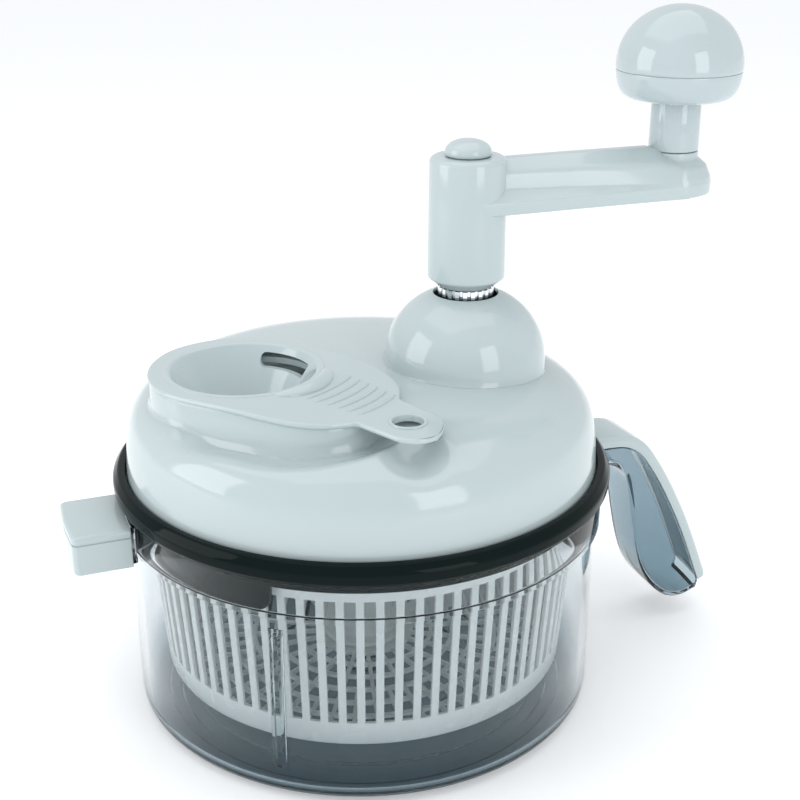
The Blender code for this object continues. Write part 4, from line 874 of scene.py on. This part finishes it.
def gripRidge(number):
    # one low curved bar across the tail: a rounded section carried along a shallow bow
    v = funnelSizes
    s = v["ridgeStart"] + v["ridgePitch"] * number
    half = v["ridgeHalf"] - v["ridgeShrink"] * number
    t = np.linspace(-1.0, 1.0, 31)
    offset = v["ridgeShift"] + half * t
    along = s - v["ridgeBow"] * t ** 2
    a = np.linspace(0.0, math.pi, 9)
    size = v["ridgeSize"] * np.sqrt(np.clip(1.0 - np.abs(t) ** 8, 0.02, 1.0))[:, None]
    x, y = tailPlace(along[:, None] + np.cos(a) * size, offset[:, None] + 0.0 * a)
    z = plateHeight(along)[:, None] - 0.15 + np.sin(a) * size
    low = np.stack([x[:, ::-1], y[:, ::-1], z * 0.0 + plateHeight(along)[:, None] - 0.8], -1)
    return gridShape(np.concatenate([np.stack([x, y, z], -1), low], 1), False, True)


def pourSlot():
    # a rounded rectangle in angle and height, carried straight out through the cup's wall
    v = funnelSizes
    low, high = v["slotHeights"]
    corners = [(0.0, low), (v["slotLength"], low), (v["slotLength"], high), (0.0, high)]
    corners = roundCorners(corners, [0.5, 2.7, 2.7, 0.5], 7)
    a = np.radians(v["slotStart"]) + corners[:, 0] / v["slotLength"] * np.radians(v["slotSpan"])
    rows = [np.column_stack([v["cup"][0] + r * np.cos(a), v["cup"][1] + r * np.sin(a), corners[:, 1]])
            for r in (20.0, 40.0)]
    return gridShape(np.array(rows), False, True)


plate = makePiece("funnelPlate", *plateShape(), white, "white", "funnel_body", 40.0)
applyCut(plate, *drawnUp(circle(funnelSizes["mouth"] + 1.3, *funnelSizes["cup"], 128), 140.0, 160.0))
holeX, holeY = tailPlace(funnelSizes["holeAt"], 0.0)
applyCut(plate, *drawnUp(circle(funnelSizes["holeRadius"], holeX, holeY, 48), 135.0, 160.0))
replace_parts(plate, "funnel_insert")
cup = makePiece("funnelCup", *cupShape(), white, "white", "funnel_body", 30.0)
applyCut(cup, *pourSlot(), sharp=30.0)
holeRim = roundCorners([(6.0, 144.9), (7.4, 144.9), (7.4, 147.9), (6.0, 147.9)], [0.2, 0.2, 0.6, 0.6], 4)
makePiece("tabHoleRim", *turned(holeRim, 48, holeX, holeY), white, "white", "funnel_body")
makePiece("crescentLip", *crescentLip(), white, "white", "funnel_body", 60.0)
makePiece("gripRidges", *joinShapes(*[gripRidge(k) for k in range(funnelSizes["ridges"])]), white, "white",
          "funnel_body", 60.0)
print("funnel insert made")


basketSizes = {
    "bottom": 18.8, "top": 92.8, "footRadius": 86.7, "taper": 0.0735, "wall": 1.8, "slots": 76, "open": 0.57,
    "slotBottom": 30.0, "slotTop": 85.4, "column": 13.5, "columnTop": 105.0, "floorBars": 48,
    "floorRings": ((13.9, 22.0), (29.0, 31.0), (38.5, 40.5), (48.0, 50.0), (57.5, 59.5), (67.0, 69.0),
                   (76.0, 79.2)),
}


def basketWall(v):
    # slotted wall as a lattice: columns at the slot edges, rows at the bands, and four sides to each slot
    def radius(z):
        return v["footRadius"] + v["taper"] * (z - v["bottom"])
    pitch = 2.0 * math.pi / v["slots"]
    share = np.array([0.0, v["open"] / 2.0, v["open"], (1.0 + v["open"]) / 2.0])
    a = ((np.arange(v["slots"])[:, None] + share) * pitch).ravel()
    low, top, wall, edge = v["bottom"], v["top"], v["wall"], v["footRadius"]
    lip = radius(top) + 1.5
    outer = [(radius(v["slotBottom"]), v["slotBottom"]), (radius(v["slotTop"]), v["slotTop"]),
             (radius(top - 1.8), top - 1.8), (lip, top - 1.5), (lip, top)]
    inner = [(radius(top) - wall, top), (radius(v["slotTop"]) - wall, v["slotTop"]),
             (radius(v["slotBottom"]) - wall, v["slotBottom"])]
    foot = [(radius(low + 3.0) - wall, low + 3.4), (edge - wall - 1.6, low + 2.0), (edge - 8.0, low + 2.0),
            (edge - 8.0, low), (edge - 2.4, low), (edge - 0.7, low + 0.7), (edge, low + 2.2)]
    profile = np.array(outer + inner + foot)
    rows, columns = len(profile), len(a)
    r, z = profile[:, :1], profile[:, 1:]
    points = np.stack([r * np.cos(a), r * np.sin(a), z + 0.0 * a], -1).reshape(-1, 3)
    faces = np.array(gridFaces(rows, columns, True, True)).reshape(rows, columns, 4)
    slotColumn = np.arange(columns) % 4 < 2
    keep = np.ones((rows, columns), bool)
    keep[0, slotColumn] = keep[6, slotColumn] = False
    kept = faces[keep].tolist()
    left = np.arange(0, columns, 4)
    for first, second in ((left, left + 1), (left + 1, left + 2)):
        for near, far in ((0, 7), (1, 6)):                       # bottom and top faces of each slot
            kept += np.stack([near * columns + first, near * columns + second,
                              far * columns + second, far * columns + first], -1).tolist()
    for column in (left, left + 2):                              # the two upright faces of each slot
        kept += np.stack([column, columns + column, 6 * columns + column, 7 * columns + column], -1).tolist()
    return points, kept


def basketFloor(v):
    # openwork floor: thin rings joined by radial bars, all two millimetres thick
    low, high = v["bottom"] + 0.1, v["bottom"] + 1.9
    shapes = []
    for inner, outer in v["floorRings"]:
        corners = [(inner, low), (outer, low), (outer, high), (inner, high)]
        shapes.append(turned(roundCorners(corners, 0.4, 2), 96))
    for k in range(v["floorBars"]):                              # every other bar stops at the fourth ring
        a = 2.0 * math.pi * k / v["floorBars"]
        first = 21.0 if k % 2 == 0 else 48.5
        corners = np.array([(first, -0.8), (78.0, -0.8), (78.0, 0.8), (first, 0.8)])
        turn = np.array([[math.cos(a), math.sin(a)], [-math.sin(a), math.cos(a)]])
        shapes.append(drawnUp(corners @ turn, low + 0.1, high - 0.1))
    return joinShapes(*shapes)


def columnProfile(v):
    # half section of the middle column: flange on the floor, slight taper and a socket in its top
    low, r, top = v["bottom"], v["column"], v["columnTop"]
    corners = [(8.2, low - 6.0), (10.0, low - 6.0), (10.0, low - 1.0), (r, low - 1.0), (r, low + 2.3),
               (18.5, low + 2.3), (17.5, low + 4.1), (r, low + 4.7), (r - 0.9, top), (5.5, top), (5.5, 92.0),
               (0.0, 92.0), (0.0, 29.2), (2.5, 28.2), (2.5, 22.2), (8.2, 22.2)]
    radii = [0.3, 0.3, 0.3, 0.3, 0.2, 0.4, 1.0, 1.6, 2.0, 0.5, 0.3, 0.0, 0.0, 0.3, 0.3, 0.5]
    return roundCorners(corners, radii, 4)


wallPiece = makePiece("basketWall", *basketWall(basketSizes), basketWhite, "basket_white", "basket_body",
                      20.0)
soft = wallPiece.modifiers.new("softEdges", "BEVEL")
soft.width, soft.segments, soft.limit_method, soft.angle_limit = 0.00035, 2, "ANGLE", math.radians(50.0)
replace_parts(wallPiece, "basket")
makePiece("basketFloor", *basketFloor(basketSizes), basketWhite, "basket_white", "basket_body", 40.0)
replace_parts(makePiece("basketColumn", *turned(columnProfile(basketSizes), 80), basketWhite, "basket_white",
                      "basket_body", 40.0), "basket_hub")
print("basket made")


innerFinish = {"nylon": ["gearbox_cover", "pinion_bush", "pinion_gear", "drive_gear"],
               "chrome": ["shaft_collar"],
               "steel": ["pivot_pin", "crank_bush", "drive_shaft", "shaft_clip", "crank_screw", "knob_pin",
                         "gearbox_screw_1", "gearbox_screw_2", "gearbox_screw_3", "gearbox_screw_4"]}
for slotName, material in (("nylon", nylon), ("chrome", chrome), ("steel", steel)):
    for node in innerFinish[slotName]:
        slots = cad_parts[node].data.materials
        slots.clear()
        slots.append(material)
print("inner pieces finished")


studio = {"floor": (0.93, 0.94, 0.95), "floorGlow": 0.22, "reach": 12000.0, "level": -0.2,
          "world": (0.96, 0.98, 1.0), "worldStrength": 0.80}


def makeFloor():
    reach, low = studio["reach"], studio["level"]
    mesh = bpy.data.meshes.new("floor")
    corners = np.array([(-reach, -reach, low), (reach, -reach, low), (reach, reach, low),
                        (-reach, reach, low)])
    mesh.from_pydata((corners * mm).tolist(), [], [[0, 1, 2, 3]])
    material, tree, shader = newMaterial("paleFloor")
    shader.inputs["Base Color"].default_value = (*studio["floor"], 1.0)
    shader.inputs["Roughness"].default_value = 0.6
    shader.inputs["Emission Color"].default_value = (1.0, 1.0, 1.0, 1.0)      # like a light table
    shader.inputs["Emission Strength"].default_value = studio["floorGlow"]
    mesh.materials.append(material)
    placed("floor", mesh)


def aim(thing, place, target):
    # stand a light or camera at place, looking at target, both in millimetres
    there, goal = Vector(place) * mm, Vector(target) * mm
    thing.location = there
    thing.rotation_euler = (goal - there).to_track_quat("-Z", "Y").to_euler()


lightSizes = {
    "leftWindow": {"place": (-1090.0, 150.0, 480.0), "target": (0.0, 0.0, 160.0), "size": (700.0, 850.0),
                   "watts": 4.2},
    "rightWindow": {"place": (303.0, -1057.0, 460.0), "target": (0.0, 0.0, 160.0), "size": (460.0, 760.0),
                    "watts": 2.6},
    "topLight": {"place": (0.0, 150.0, 1350.0), "target": (0.0, 0.0, 0.0), "size": (1600.0, 1300.0),
                 "watts": 5.0},
}


def makeLight(name, place, target, size, watts):
    data = bpy.data.lights.new(name, "AREA")
    data.shape, data.size, data.size_y = "RECTANGLE", size[0] * mm, size[1] * mm
    data.energy = watts
    aim(placed(name, data), place, target)


def makeWorld():
    world = bpy.data.worlds.new("studio")
    world.use_nodes = True
    back = world.node_tree.nodes["Background"]
    back.inputs["Color"].default_value = (*studio["world"], 1.0)
    back.inputs["Strength"].default_value = studio["worldStrength"]
    bpy.context.scene.world = world


cameraSizes = {"azimuth": -19.0, "distance": 528.9, "height": 342.0, "turnRight": 1.75, "lookDown": 21.863,
               "lens": 60.84, "sensor": 36.0}


def makeCamera(v):
    # the camera stands on the azimuth's line, level, then turns right and looks down
    data = bpy.data.cameras.new("camera")
    data.lens, data.sensor_width = v["lens"], v["sensor"]
    data.clip_start, data.clip_end = 0.01, 20.0
    camera = placed("camera", data)
    azimuth = math.radians(v["azimuth"])
    camera.location = (v["distance"] * math.sin(azimuth) * mm, -v["distance"] * math.cos(azimuth) * mm,
                       v["height"] * mm)
    camera.rotation_euler = (math.radians(90.0 - v["lookDown"]), 0.0,
                             azimuth - math.radians(v["turnRight"]))
    bpy.context.scene.camera = camera


makeFloor()
makeWorld()
for name, v in lightSizes.items():
    makeLight(name, v["place"], v["target"], v["size"], v["watts"])
makeCamera(cameraSizes)
bpy.context.scene.view_settings.view_transform = "Standard"
print("stage set")
